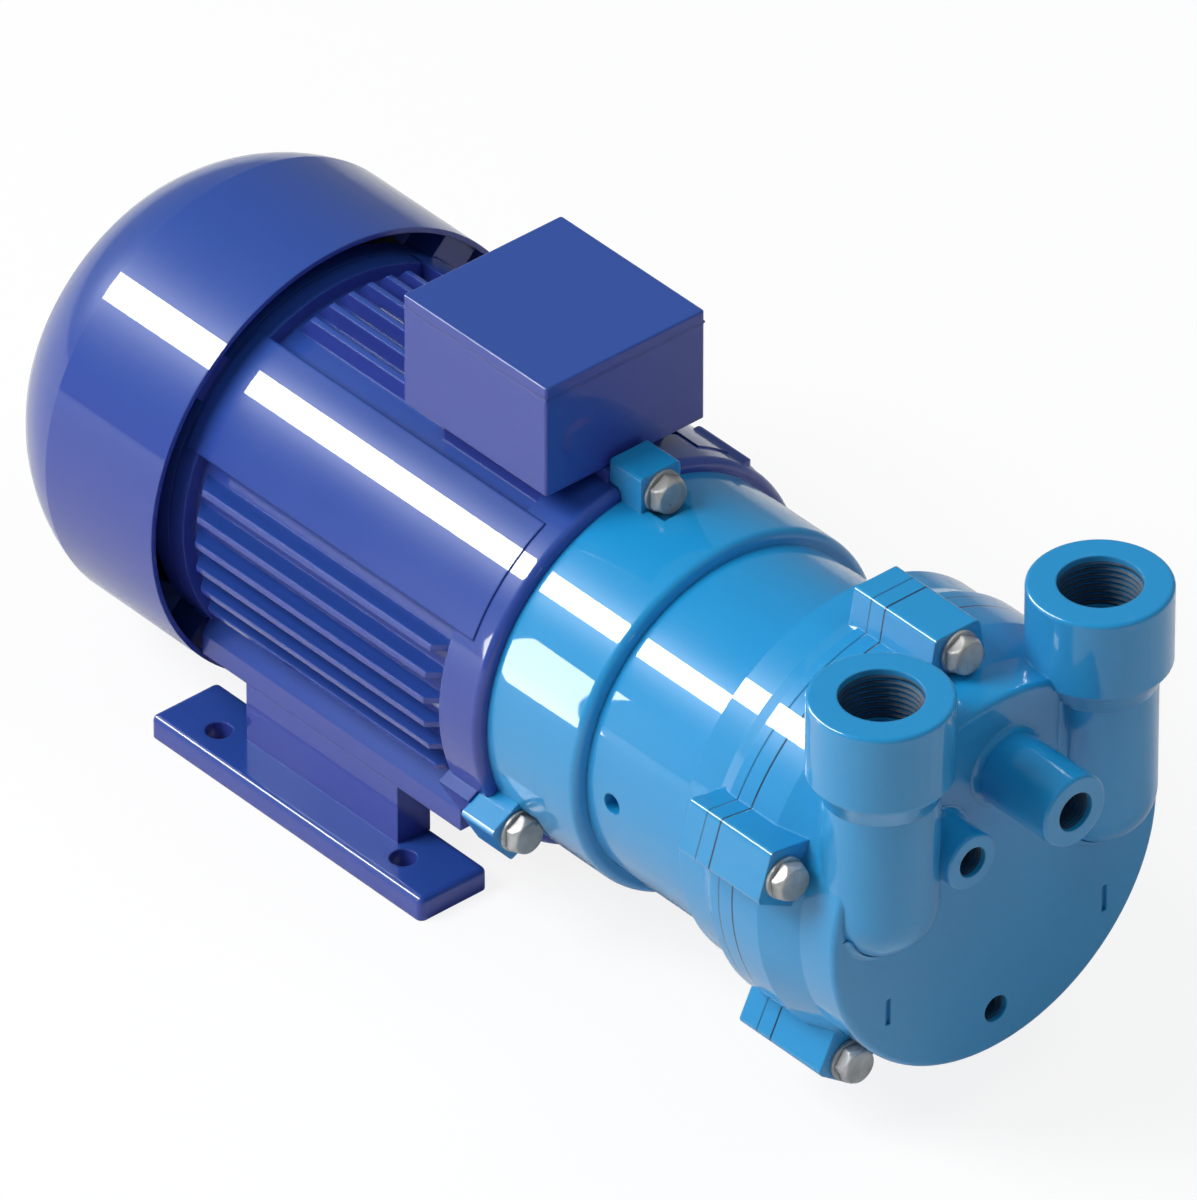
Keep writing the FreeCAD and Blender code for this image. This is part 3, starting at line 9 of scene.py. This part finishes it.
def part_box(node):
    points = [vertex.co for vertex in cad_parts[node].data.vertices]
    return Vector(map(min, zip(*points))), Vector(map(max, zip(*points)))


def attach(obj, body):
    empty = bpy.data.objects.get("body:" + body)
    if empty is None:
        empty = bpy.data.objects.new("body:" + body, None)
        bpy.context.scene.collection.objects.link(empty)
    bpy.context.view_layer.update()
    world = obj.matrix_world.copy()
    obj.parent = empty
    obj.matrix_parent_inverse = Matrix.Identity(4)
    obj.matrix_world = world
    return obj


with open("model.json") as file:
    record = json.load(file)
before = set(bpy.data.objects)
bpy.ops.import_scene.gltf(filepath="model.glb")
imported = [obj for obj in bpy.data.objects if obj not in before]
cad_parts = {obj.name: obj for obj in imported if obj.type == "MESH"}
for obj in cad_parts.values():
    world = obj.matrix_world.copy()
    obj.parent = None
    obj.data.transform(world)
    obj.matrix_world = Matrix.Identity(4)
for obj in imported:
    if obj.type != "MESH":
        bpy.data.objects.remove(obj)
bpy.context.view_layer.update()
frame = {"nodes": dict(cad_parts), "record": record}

MM = 0.001
WHITE = (1.0, 1.0, 1.0, 1.0)
ALONG_SHAFT = Vector((1.0, 0.0, 0.0))

# Sockets of a Mix node that mixes colours; their names repeat, so they go by number
MIX_FACTOR = 0
MIX_FIRST = 6
MIX_SECOND = 7
MIX_RESULT = 2

# The photograph is 1197 by 1200 pixels; its angle and the object's place in it
IMAGE_WIDTH = 1197
CAMERA_AZIMUTH = math.radians(49.0)
CAMERA_ELEVATION = math.radians(36.0)
CAMERA_DISTANCE = 8.0
PIXELS_PER_METRE = 2860.0
AIM = Vector((0.0757, -0.0014, 0.1026))

# Sizes of the cover casting that the details follow
SUPPLY_LENGTH = 36.0 * MM
SUPPLY_RADIUS = 14.0 * MM
GAUGE_LENGTH = 17.0 * MM
GAUGE_RADIUS = 11.0 * MM
TUBE_RADIUS = 21.0 * MM
TUBE_SETBACK = 4.8 * MM
TUBE_FOOT_HEIGHT = 112.0 * MM
SOCKET_LENGTH = 32.3 * MM

# Blends of the cover casting: fillets on its face and a cone under each socket; the turn of the
# tube fillet is in degrees
CASTING_FILLET = 2.4 * MM
FILLET_SUNK = 0.4 * MM
FILLET_ROWS = 8
STUB_FILLET_STEPS = 64
TUBE_FILLET_STEPS = 40
TUBE_FILLET_RISE = 48.0 * MM
TUBE_FILLET_TURN = 160.0
COLLAR_LENGTH = 8.0 * MM
COLLAR_RADIUS = 24.9 * MM
COLLAR_SUNK = 0.6 * MM
COLLAR_PROUD = 0.02 * MM
COLLAR_OVERLAP = 0.3 * MM
COLLAR_BULGE = 0.9
COLLAR_ROWS = 8
COLLAR_STEPS = 96

# Pipe threads: one inch in the two ports, smaller ones in the stubs and the drain
PORT_THREAD_PITCH = 2.309 * MM
PORT_THREAD_LENGTH = 18.0 * MM
PORT_THREAD_INSET = 1.0 * MM
SMALL_THREAD_PITCH = 1.337 * MM
SMALL_THREAD_INSET = 0.7 * MM
SUPPLY_THREAD_LENGTH = 12.0 * MM
GAUGE_THREAD_LENGTH = 9.0 * MM
DRAIN_THREAD_LENGTH = 8.0 * MM
THREAD_SUNK = 0.15 * MM
THREAD_LEAST_DEPTH = 0.1 * MM
THREAD_STEPS = 40
THREAD_RUN_OUT_STEPS = 12

# The same thread form for every size, in pitches
THREAD_START = 0.6
THREAD_DEPTH = 0.32
THREAD_ROOT_HALF = 0.42
THREAD_CREST_HALF = 0.06

# Joints drawn in the paint of the pump end; the last two say how dark each one is, from 0 to 1
JOINT_COLOUR = "#062c46"
JOINT_HALF_WIDTH = 0.25 * MM
JOINT_HALF_REACH = 0.5 * MM
FINE_JOINT = 0.4
WIDE_JOINT = 0.9

# How much the marks on a metal are squeezed along x, y and z; squeezed along x, they run round
# the shaft
EVEN_GRAIN = (1.0, 1.0, 1.0)
DRAWN_GRAIN = (4.0, 1.0, 1.0)
GROUND_GRAIN = (6.0, 1.0, 1.0)
TURNED_GRAIN = (14.0, 1.0, 1.0)

# Point near the middle of the object that the lamps aim at
LAMP_AIM = (0.06, 0.0, 0.1)

# Point on the left flank of the bracket, in which the upright box shows; it lies a little behind
# the middle of the bracket
FLANK_SETBACK = 1.0 * MM
FLANK_Y = -63.3 * MM
FLANK_Z = 122.2 * MM

# Floor and surroundings; the camera sees them brighter than the paint does
FLOOR_HALF_SIZE = 6.0
FLOOR_DROP = 0.2 * MM
FLOOR_SEEN = (0.95, 0.95, 0.95, 1.0)
FLOOR_MIRRORED = (0.74, 0.74, 0.74, 1.0)
FLOOR_GLOW = 0.86
ROOM_TINT = (0.8, 0.84, 0.9, 1.0)
ROOM_STRENGTH = 0.27


def linear(code):
    """Colour from its #rrggbb name, as the linear values that nodes take."""
    parts = [int(code[i:i + 2], 16) / 255 for i in (1, 3, 5)]
    return tuple((p / 12.92 if p <= 0.04045 else ((p + 0.055) / 1.055) ** 2.4) for p in parts) + (1.0,)


class Wire:
    """One output in a finish. Arithmetic on it adds Math nodes to the same finish."""

    def __init__(self, finish, socket):
        self.finish = finish
        self.socket = socket

    def math(self, operation, first, second=0.0):
        return self.finish.node("Math", {"operation": operation}, {0: first, 1: second})

    def __add__(self, other):
        return self.math("ADD", self, other)

    def __sub__(self, other):
        return self.math("SUBTRACT", self, other)

    def __mul__(self, other):
        return self.math("MULTIPLY", self, other)

    def distance_to(self, place):
        return self.math("ABSOLUTE", self - place)


class Finish:
    """A material under construction."""

    def __init__(self, name):
        self.material = bpy.data.materials.new(name)
        self.material.use_nodes = True
        self.tree = self.material.node_tree
        self.tree.nodes.clear()

    def node(self, kind, settings=None, sockets=None, output=0):
        """Adds a node: its settings first, then the values or wires of its inputs."""
        made = self.tree.nodes.new("ShaderNode" + kind)
        for key, value in (settings or {}).items():
            setattr(made, key, value)
        for key, value in (sockets or {}).items():
            socket = made.inputs[key]
            if isinstance(value, Wire):
                self.tree.links.new(value.socket, socket)
            else:
                socket.default_value = value
        return Wire(self, made.outputs[output])

    def place(self):
        """Position on the piece, in metres."""
        return self.node("TexCoord", output="Object")

    def noise(self, scale, detail, roughness, stretch=None):
        """Cloudy pattern from 0 to 1; scale is in lumps per metre."""
        where = self.place()
        if stretch:
            where = self.node("Mapping", None, {"Vector": where, "Scale": stretch})
        return self.node("TexNoise", None, {
            "Vector": where, "Scale": scale, "Detail": detail, "Roughness": roughness})

    def spread(self, value, low, high, start=0.0, end=1.0):
        """Maps a value between low and high onto start to end."""
        return self.node("MapRange", None, {
            "Value": value, "From Min": low, "From Max": high, "To Min": start, "To Max": end})

    def blend(self, factor, first, second):
        """Mix of two colours."""
        return self.node("Mix", {"data_type": "RGBA"}, {
            MIX_FACTOR: factor, MIX_FIRST: first, MIX_SECOND: second}, output=MIX_RESULT)

    def soft_edges(self, radius):
        """Normals that run round an edge instead of breaking at it."""
        return self.node("Bevel", {"samples": 6}, {"Radius": radius})

    def bump(self, height, distance, strength, normal=None):
        """Normals that follow a height; distance is how far it reaches, in metres."""
        sockets = {"Height": height, "Distance": distance, "Strength": strength}
        if normal:
            sockets["Normal"] = normal
        return self.node("Bump", None, sockets)

    def surface(self, **sockets):
        """Ends the finish with a Principled surface; underscores stand for spaces in the names."""
        named = {key.replace("_", " "): value for key, value in sockets.items()}
        shader = self.node("BsdfPrincipled", None, named)
        self.node_output(shader)
        return self.material

    def node_output(self, shader):
        made = self.tree.nodes.new("ShaderNodeOutputMaterial")
        self.tree.links.new(shader.socket, made.inputs["Surface"])


def enamel(name, top, side, pale, joints=()):
    """Thick gloss paint over cast metal, darker in the narrow joints at these places along x. Its colour
    goes from the side tone to the top tone as the surface turns upward, which is painted light.
    """
    finish = Finish(name)
    # Painted light: the colour follows which way the surface faces, lit tops in the top tone and sides
    # in the side tone, with a random cloud mixed in
    normal = finish.node("NewGeometry", output="Normal")
    upward = finish.node("SeparateXYZ", None, {"Vector": normal}, output="Z")
    cloud = finish.noise(scale=9.0, detail=4.0, roughness=0.6)
    painted_facing_light_and_cloud = finish.spread(upward + cloud * 0.2, low=0.0, high=0.85)
    tint = finish.blend(painted_facing_light_and_cloud, linear(side), linear(top))
    speck = finish.noise(scale=240.0, detail=2.0, roughness=0.5)
    tint = finish.blend(finish.spread(speck, low=0.62, high=0.8, end=0.12), tint, linear(pale))
    along = finish.node("SeparateXYZ", None, {"Vector": finish.place()}, output="X")
    flow = finish.noise(scale=42.0, detail=2.0, roughness=0.45)
    peel = finish.noise(scale=520.0, detail=2.0, roughness=0.5)
    height = flow + peel * 0.06
    for place, darkness in joints:
        groove = finish.spread(
            along.distance_to(place), JOINT_HALF_WIDTH, JOINT_HALF_REACH, start=1.0, end=0.0)
        tint = finish.blend(groove * darkness, tint, linear(JOINT_COLOUR))
        height = height - groove * darkness
    return finish.surface(
        Base_Color=tint,
        Roughness=finish.spread(cloud, low=0.3, high=0.75, start=0.3, end=0.42),
        Normal=finish.bump(height, 0.6 * MM, 0.1, finish.soft_edges(1.2 * MM)),
        Specular_IOR_Level=0.2, Coat_Weight=1.0, Coat_Roughness=0.02, Coat_IOR=1.5)


def metal(name, colour, dark, roughness, grain, edge=0.5 * MM, metallic=1.0):
    """Bare metal with fine machined or rolled marks; grain squeezes them along each axis."""
    finish = Finish(name)
    lay = finish.noise(scale=260.0, detail=5.0, roughness=0.65, stretch=grain)
    stain = finish.noise(scale=70.0, detail=4.0, roughness=0.6)
    tint = finish.blend(finish.spread(stain, low=0.42, high=0.72), linear(dark), linear(colour))
    normal = finish.bump(lay, 0.05 * MM, 0.45, finish.soft_edges(edge))
    rough = finish.spread(lay, low=0.3, high=0.7, start=roughness - 0.08, end=roughness + 0.1)
    return finish.surface(Base_Color=tint, Metallic=metallic, Roughness=rough, Normal=normal)


def moulded(name, colour, pale, roughness):
    """Moulded plastic, rubber, carbon or ceramic with a fine matt skin."""
    finish = Finish(name)
    skin = finish.noise(scale=900.0, detail=3.0, roughness=0.6)
    cloud = finish.noise(scale=30.0, detail=3.0, roughness=0.5)
    tint = finish.blend(finish.spread(cloud, low=0.4, high=0.75), linear(colour), linear(pale))
    normal = finish.bump(skin, 0.06 * MM, 0.5, finish.soft_edges(0.4 * MM))
    rough = finish.spread(skin, low=0.3, high=0.7, start=roughness - 0.06, end=roughness + 0.08)
    return finish.surface(Base_Color=tint, Normal=normal, Roughness=rough)


def laminations(name):
    """Edges of stacked steel sheets, seen as fine stripes across the shaft direction."""
    finish = Finish(name)
    stripes = finish.node("TexWave", {"wave_type": "BANDS", "bands_direction": "X"}, {
        "Vector": finish.place(), "Scale": 320.0, "Distortion": 0.2}, output="Fac")
    tint = finish.blend(stripes, linear("#3c3d40"), linear("#85868a"))
    return finish.surface(
        Base_Color=tint, Metallic=1.0,
        Roughness=finish.spread(stripes, low=0.0, high=1.0, start=0.5, end=0.35),
        Normal=finish.bump(stripes, 0.08 * MM, 0.6))


def winding(name):
    """Bundled enamelled wire."""
    finish = Finish(name)
    strands = finish.node("TexWave", {"wave_type": "RINGS", "rings_direction": "X"}, {
        "Vector": finish.place(), "Scale": 150.0, "Distortion": 3.0, "Detail": 2.0}, output="Fac")
    tint = finish.blend(strands, linear("#4a1c0c"), linear("#c46a35"))
    return finish.surface(
        Base_Color=tint, Metallic=0.6, Roughness=0.38, Normal=finish.bump(strands, 0.6 * MM, 0.8))


def dress(material, *nodes):
    """Gives CAD nodes a material."""
    for name in nodes:
        piece = frame["nodes"][name]
        if not piece.material_slots:
            piece.data.materials.append(material)
        for place in piece.material_slots:
            place.material = material


def dress_motor():
    # The first two colours are painted light: the same blue paint as it looks on lit tops and on sides
    paint = enamel("motor_enamel", "#284a9b", "#35439d", "#4450ad")
    dress(paint, "stator_frame", "foot_left", "foot_right", "fan_cowl", "rear_end_shield",
          "terminal_box", "terminal_box_lid", "terminal_box_gasket")


def dress_pump():
    """Pump end in one colour; its castings meet in a fine joint and in a wider, dark one."""
    low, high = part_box("port_plate")
    joints = ((low[0], FINE_JOINT), (high[0], WIDE_JOINT))
    # The first two colours are painted light: the same blue paint as it looks on lit tops and on sides
    paint = enamel("pump_enamel", "#1990cb", "#3497d0", "#4fa6d8", joints)
    dress(paint, "drive_bracket", "pump_casing", "port_plate", "pump_cover")
    return paint


def dress_fasteners():
    plated = metal("plated_steel", "#d0d0cd", "#a3a39f", 0.34, EVEN_GRAIN, 1.3 * MM, metallic=0.4)
    dress(plated, "foot_screws", "end_shield_screws", "lid_screws", "bracket_bolts", "bracket_washers",
          "casing_screws", "valve_plate_screws", "cover_bolts", "cover_washers")


def dress_inside():
    turned = metal("turned_steel", "#b4b5b8", "#8c8d90", 0.3, TURNED_GRAIN)
    ground = metal("ground_steel", "#d2d3d6", "#b0b1b5", 0.14, GROUND_GRAIN)
    dress(turned, "rotor_shaft", "fan_key", "impeller_key", "impeller_washer", "impeller_screw",
          "discharge_valve_plate", "bearing_circlip", "fan_circlip")
    dress(ground, "front_bearing_outer_ring", "rear_bearing_outer_ring", "front_bearing_inner_ring",
          "rear_bearing_inner_ring", "front_bearing_balls", "rear_bearing_balls")
    dress(metal("yellow_brass", "#c9a24a", "#97712c", 0.3, DRAWN_GRAIN),
          "front_bearing_cage", "rear_bearing_cage", "terminal_studs", "terminal_links")
    dress(metal("cast_bronze", "#b98a4b", "#7d5527", 0.38, EVEN_GRAIN), "impeller")
    dress(metal("cast_aluminium", "#c8cacc", "#96989b", 0.45, EVEN_GRAIN), "rotor_cage_rings")
    dress(laminations("laminated_steel"), "stator_core", "rotor_core")
    dress(winding("copper_winding"), "stator_winding")
    dress(moulded("black_rubber", "#151515", "#26262a", 0.7), "casing_gasket", "cover_gasket",
          "shaft_slinger")
    dress(moulded("black_plastic", "#18181b", "#2b2b30", 0.5), "cooling_fan", "cable_entry_plugs")
    dress(moulded("brown_plastic", "#4a2c1a", "#6a4227", 0.45), "terminal_block")
    dress(moulded("seal_ceramic", "#e6e0cf", "#f1ece0", 0.3), "seal_seat")
    dress(moulded("seal_carbon", "#222327", "#35363b", 0.4), "seal_ring", "seal_carrier")


def add_piece(name, shape, material, body="stator"):
    """Puts a finished mesh into the scene, riding on a body."""
    bmesh.ops.remove_doubles(shape, verts=shape.verts, dist=0.001 * MM)
    bmesh.ops.recalc_face_normals(shape, faces=shape.faces)
    for face in shape.faces:
        face.smooth = True
    mesh = bpy.data.meshes.new(name)
    shape.to_mesh(mesh)
    shape.free()
    mesh.set_sharp_from_angle(angle=math.radians(40.0))
    mesh.materials.append(material)
    piece = bpy.data.objects.new(name, mesh)
    bpy.context.collection.objects.link(piece)
    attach(piece, body)


def sweep(sections, closed):
    """Skin over sections that each hold the same number of points; ends are closed by faces."""
    shape = bmesh.new()
    rows = [[shape.verts.new(point) for point in section] for section in sections]
    pairs = list(zip(rows, rows[1:]))
    if closed:
        pairs.append((rows[-1], rows[0]))
    for one, two in pairs:
        for i in range(len(one)):
            j = (i + 1) % len(one)
            shape.faces.new((one[i], one[j], two[j], two[i]))
    if not closed:
        shape.faces.new(rows[0])
        shape.faces.new(reversed(rows[-1]))
    return shape


def thread(mouth, axis, radius, length, pitch):
    """Pipe thread that runs down a bore from its mouth; axis points out of the bore."""
    out = Vector(axis)
    side = out.orthogonal().normalized()
    other = out.cross(side)
    root_half = out * THREAD_ROOT_HALF * pitch
    crest_half = out * THREAD_CREST_HALF * pitch
    steps = int(THREAD_STEPS * length / pitch)
    sections = []
    for i in range(steps + 1):
        angle = 2 * math.pi * i / THREAD_STEPS
        run_out = min(1.0, i / THREAD_RUN_OUT_STEPS, (steps - i) / THREAD_RUN_OUT_STEPS)
        depth = THREAD_LEAST_DEPTH + THREAD_DEPTH * pitch * run_out
        ray = side * math.cos(angle) + other * math.sin(angle)
        middle = mouth - out * (THREAD_START * pitch + pitch * i / THREAD_STEPS)
        root = middle + ray * (radius + THREAD_SUNK)
        crest = middle + ray * (radius - depth)
        sections.append([root + root_half, crest + crest_half, crest - crest_half, root - root_half])
    return sweep(sections, closed=False)


def fillet_section(point, outward, size):
    """Hollow corner between the cover face and a wall that stands on it at this point."""
    up = ALONG_SHAFT
    section = []
    for i in range(FILLET_ROWS + 1):
        angle = math.pi / 2 * i / FILLET_ROWS
        aside = size * (1 - math.sin(angle))
        above = size * (1 - math.cos(angle))
        section.append(point + outward * aside + up * above)
    section.append(point - outward * FILLET_SUNK + up * size)
    section.append(point - outward * FILLET_SUNK - up * FILLET_SUNK)
    section.append(point + outward * size - up * FILLET_SUNK)
    return section


def around_face(x, y, z, radius, start, end, count):
    """Points and outward directions on an arc on the cover face; angles in degrees from +y."""
    for i in range(count):
        angle = math.radians(start + (end - start) * i / (count - 1))
        outward = Vector((0.0, math.cos(angle), math.sin(angle)))
        yield Vector((x, y, z)) + outward * radius, outward


def add_stub_fillet(name, x, mount, radius, paint):
    """Fillet round the foot of a stub; its last section stops one step before the first."""
    count = STUB_FILLET_STEPS
    arc = around_face(x, mount[1], mount[2], radius, 0.0, 360.0 * (count - 1) / count, count)
    shape = sweep([fillet_section(point, out, CASTING_FILLET) for point, out in arc], closed=True)
    add_piece(name, shape, paint)


def add_tube_fillet(name, x, mount, side, paint):
    """Fillet down the inner flank of a tube and round its foot, as far as the face is flat."""
    radius = math.sqrt(TUBE_RADIUS ** 2 - TUBE_SETBACK ** 2)
    inner = Vector((0.0, -side, 0.0))
    top = Vector((x, mount[1] - side * radius, TUBE_FOOT_HEIGHT + TUBE_FILLET_RISE))
    path = [(top, inner)]
    start = 180.0 if side > 0 else 360.0
    end = start + side * TUBE_FILLET_TURN
    path += list(around_face(x, mount[1], TUBE_FOOT_HEIGHT, radius, start, end, TUBE_FILLET_STEPS))
    shape = sweep([fillet_section(point, out, CASTING_FILLET) for point, out in path], closed=False)
    add_piece(name, shape, paint)


def add_collar(name, mount, top_z, paint):
    """Cone by which the tube widens to its socket."""
    bottom = top_z - SOCKET_LENGTH - COLLAR_LENGTH
    end = COLLAR_LENGTH + COLLAR_OVERLAP
    inner = TUBE_RADIUS - COLLAR_SUNK
    profile = [(inner, 0.0), (TUBE_RADIUS + COLLAR_PROUD, 0.0)]
    for row in range(1, COLLAR_ROWS + 1):
        share = row / COLLAR_ROWS
        profile.append((
            TUBE_RADIUS + (COLLAR_RADIUS - TUBE_RADIUS) * share, COLLAR_LENGTH * share ** COLLAR_BULGE))
    profile += [(COLLAR_RADIUS, end), (inner, end)]
    sections = []
    for i in range(COLLAR_STEPS):
        angle = 2 * math.pi * i / COLLAR_STEPS
        axis = Vector((mount[0], mount[1], bottom))
        ray = Vector((math.cos(angle), math.sin(angle), 0.0))
        sections.append([axis + ray * radius + Vector((0.0, 0.0, height)) for radius, height in profile])
    add_piece(name, sweep(sections, closed=True), paint)


def add_cover_details(paint):
    """Threads in the open ports, and the blends of the cover casting."""
    mounts = {mount["name"]: mount for mount in frame["record"]["mounts"]}
    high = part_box("pump_cover")[1]
    face_x = high[0] - SUPPLY_LENGTH
    # The threads take the pump blue darkened almost to black, a painted shade for the inside of the
    # bores
    bore_shade_finish = moulded("bore_painted_shade", "#0c2f48", "#12425f", 0.6)
    for name, side in (("suction", -1), ("discharge", 1)):
        mount = mounts[name + "_port"]["pos_m"]
        mouth = Vector((mount[0], mount[1], high[2] - PORT_THREAD_INSET))
        bore = mounts[name + "_port"]["dims"]["r_mm"] * MM
        shape = thread(mouth, (0, 0, 1), bore, PORT_THREAD_LENGTH, PORT_THREAD_PITCH)
        add_piece(name + "_thread", shape, bore_shade_finish)
        add_collar(name + "_collar", mount, high[2], paint)
        add_tube_fillet(name + "_tube_fillet", face_x, mount, side, paint)
    ends = (("liquid_supply", high[0], SUPPLY_THREAD_LENGTH),
            ("gauge", face_x + GAUGE_LENGTH, GAUGE_THREAD_LENGTH),
            ("drain", face_x, DRAIN_THREAD_LENGTH))
    for name, end, length in ends:
        mount = mounts[name + "_port"]
        mouth = Vector((end - SMALL_THREAD_INSET, mount["pos_m"][1], mount["pos_m"][2]))
        bore = mount["dims"]["r_mm"] * MM
        shape = thread(mouth, (1, 0, 0), bore, length, SMALL_THREAD_PITCH)
        add_piece(name + "_thread", shape, bore_shade_finish)
    add_stub_fillet("supply_fillet", face_x, mounts["liquid_supply_port"]["pos_m"], SUPPLY_RADIUS, paint)
    add_stub_fillet("gauge_fillet", face_x, mounts["gauge_port"]["pos_m"], GAUGE_RADIUS, paint)


def add_camera():
    """Long lens from the front left and above, as the photograph looks at the pump."""
    back = Vector((
        math.sin(CAMERA_AZIMUTH) * math.cos(CAMERA_ELEVATION),
        -math.cos(CAMERA_AZIMUTH) * math.cos(CAMERA_ELEVATION),
        math.sin(CAMERA_ELEVATION)))
    data = bpy.data.cameras.new("photo_camera")
    data.sensor_fit = "HORIZONTAL"
    data.lens = data.sensor_width * PIXELS_PER_METRE * CAMERA_DISTANCE / IMAGE_WIDTH
    data.clip_end = 4 * CAMERA_DISTANCE
    camera = bpy.data.objects.new("photo_camera", data)
    camera.location = AIM + back * CAMERA_DISTANCE
    camera.rotation_mode = "QUATERNION"
    camera.rotation_quaternion = (-back).to_track_quat("-Z", "Y")
    bpy.context.collection.objects.link(camera)
    bpy.context.scene.camera = camera


def add_lamp(name, towards, distance, size, power, aim=LAMP_AIM, reflected=False):
    """Soft box in a direction from its aim, its width lying along the shaft; it either lights
    the surfaces or is only seen reflected in them."""
    out = Vector(towards).normalized()
    side = (ALONG_SHAFT - out * out.dot(ALONG_SHAFT)).normalized()
    up = out.cross(side)
    data = bpy.data.lights.new(name, "AREA")
    data.shape = "RECTANGLE"
    data.size, data.size_y = size
    data.energy = power
    lamp = bpy.data.objects.new(name, data)
    turn = Matrix((side, up, out)).transposed().to_4x4()
    lamp.matrix_world = Matrix.Translation(Vector(aim) + out * distance) @ turn
    lamp.visible_camera = False
    lamp.visible_diffuse = not reflected
    lamp.visible_glossy = reflected
    bpy.context.collection.objects.link(lamp)


def add_lamps():
    """Soft key light from the upper left, a little fill, and two boxes that the paint mirrors."""
    add_lamp("key_box", (-0.35, -0.62, 0.7), 3.2, (1.6, 1.6), 100.0)
    add_lamp("fill_box", (0.35, 0.3, 1.0), 2.2, (1.2, 1.2), 9.0)
    add_lamp("strip_box", (-0.61, -0.49, 0.62), 1.6, (1.9, 0.3), 54.0, reflected=True)
    low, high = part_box("drive_bracket")
    flank = ((low[0] + high[0]) / 2 - FLANK_SETBACK, FLANK_Y, FLANK_Z)
    add_lamp("bracket_box", (-0.61, -0.788, 0.084), 0.45, (0.036, 0.21), 0.33, flank, reflected=True)


def add_floor():
    """Pale floor that keeps a soft shadow and meets the white background."""
    finish = Finish("pale_floor")
    rays = finish.tree.nodes.new("ShaderNodeLightPath")
    seen = Wire(finish, rays.outputs["Is Camera Ray"])
    tone = finish.blend(seen, FLOOR_MIRRORED, FLOOR_SEEN)
    cloth = finish.node("BsdfDiffuse", None, {"Color": tone})
    glow = finish.node("Emission", None, {"Color": WHITE, "Strength": 1.0})
    finish.node_output(finish.node("MixShader", None, {0: seen * FLOOR_GLOW, 1: cloth, 2: glow}))
    mesh = bpy.data.meshes.new("floor")
    shape = bmesh.new()
    bmesh.ops.create_grid(shape, x_segments=8, y_segments=8, size=FLOOR_HALF_SIZE)
    shape.to_mesh(mesh)
    shape.free()
    floor = bpy.data.objects.new("floor", mesh)
    floor.location.z = -FLOOR_DROP
    mesh.materials.append(finish.material)
    bpy.context.collection.objects.link(floor)


def light_world():
    """White for the camera, an even bluish grey for all other rays."""
    world = bpy.data.worlds.new("studio")
    world.use_nodes = True
    tree = world.node_tree
    tree.nodes.clear()
    rays = tree.nodes.new("ShaderNodeLightPath")
    white = tree.nodes.new("ShaderNodeBackground")
    white.inputs["Color"].default_value = WHITE
    grey = tree.nodes.new("ShaderNodeBackground")
    grey.inputs["Color"].default_value = ROOM_TINT
    grey.inputs["Strength"].default_value = ROOM_STRENGTH
    mix = tree.nodes.new("ShaderNodeMixShader")
    out = tree.nodes.new("ShaderNodeOutputWorld")
    tree.links.new(rays.outputs["Is Camera Ray"], mix.inputs[0])
    tree.links.new(grey.outputs[0], mix.inputs[1])
    tree.links.new(white.outputs[0], mix.inputs[2])
    tree.links.new(mix.outputs[0], out.inputs["Surface"])
    bpy.context.scene.world = world
    bpy.context.scene.view_settings.view_transform = "Standard"


dress_motor()
pump_paint = dress_pump()
dress_fasteners()
dress_inside()
add_cover_details(pump_paint)
add_camera()
add_lamps()
add_floor()
light_world()
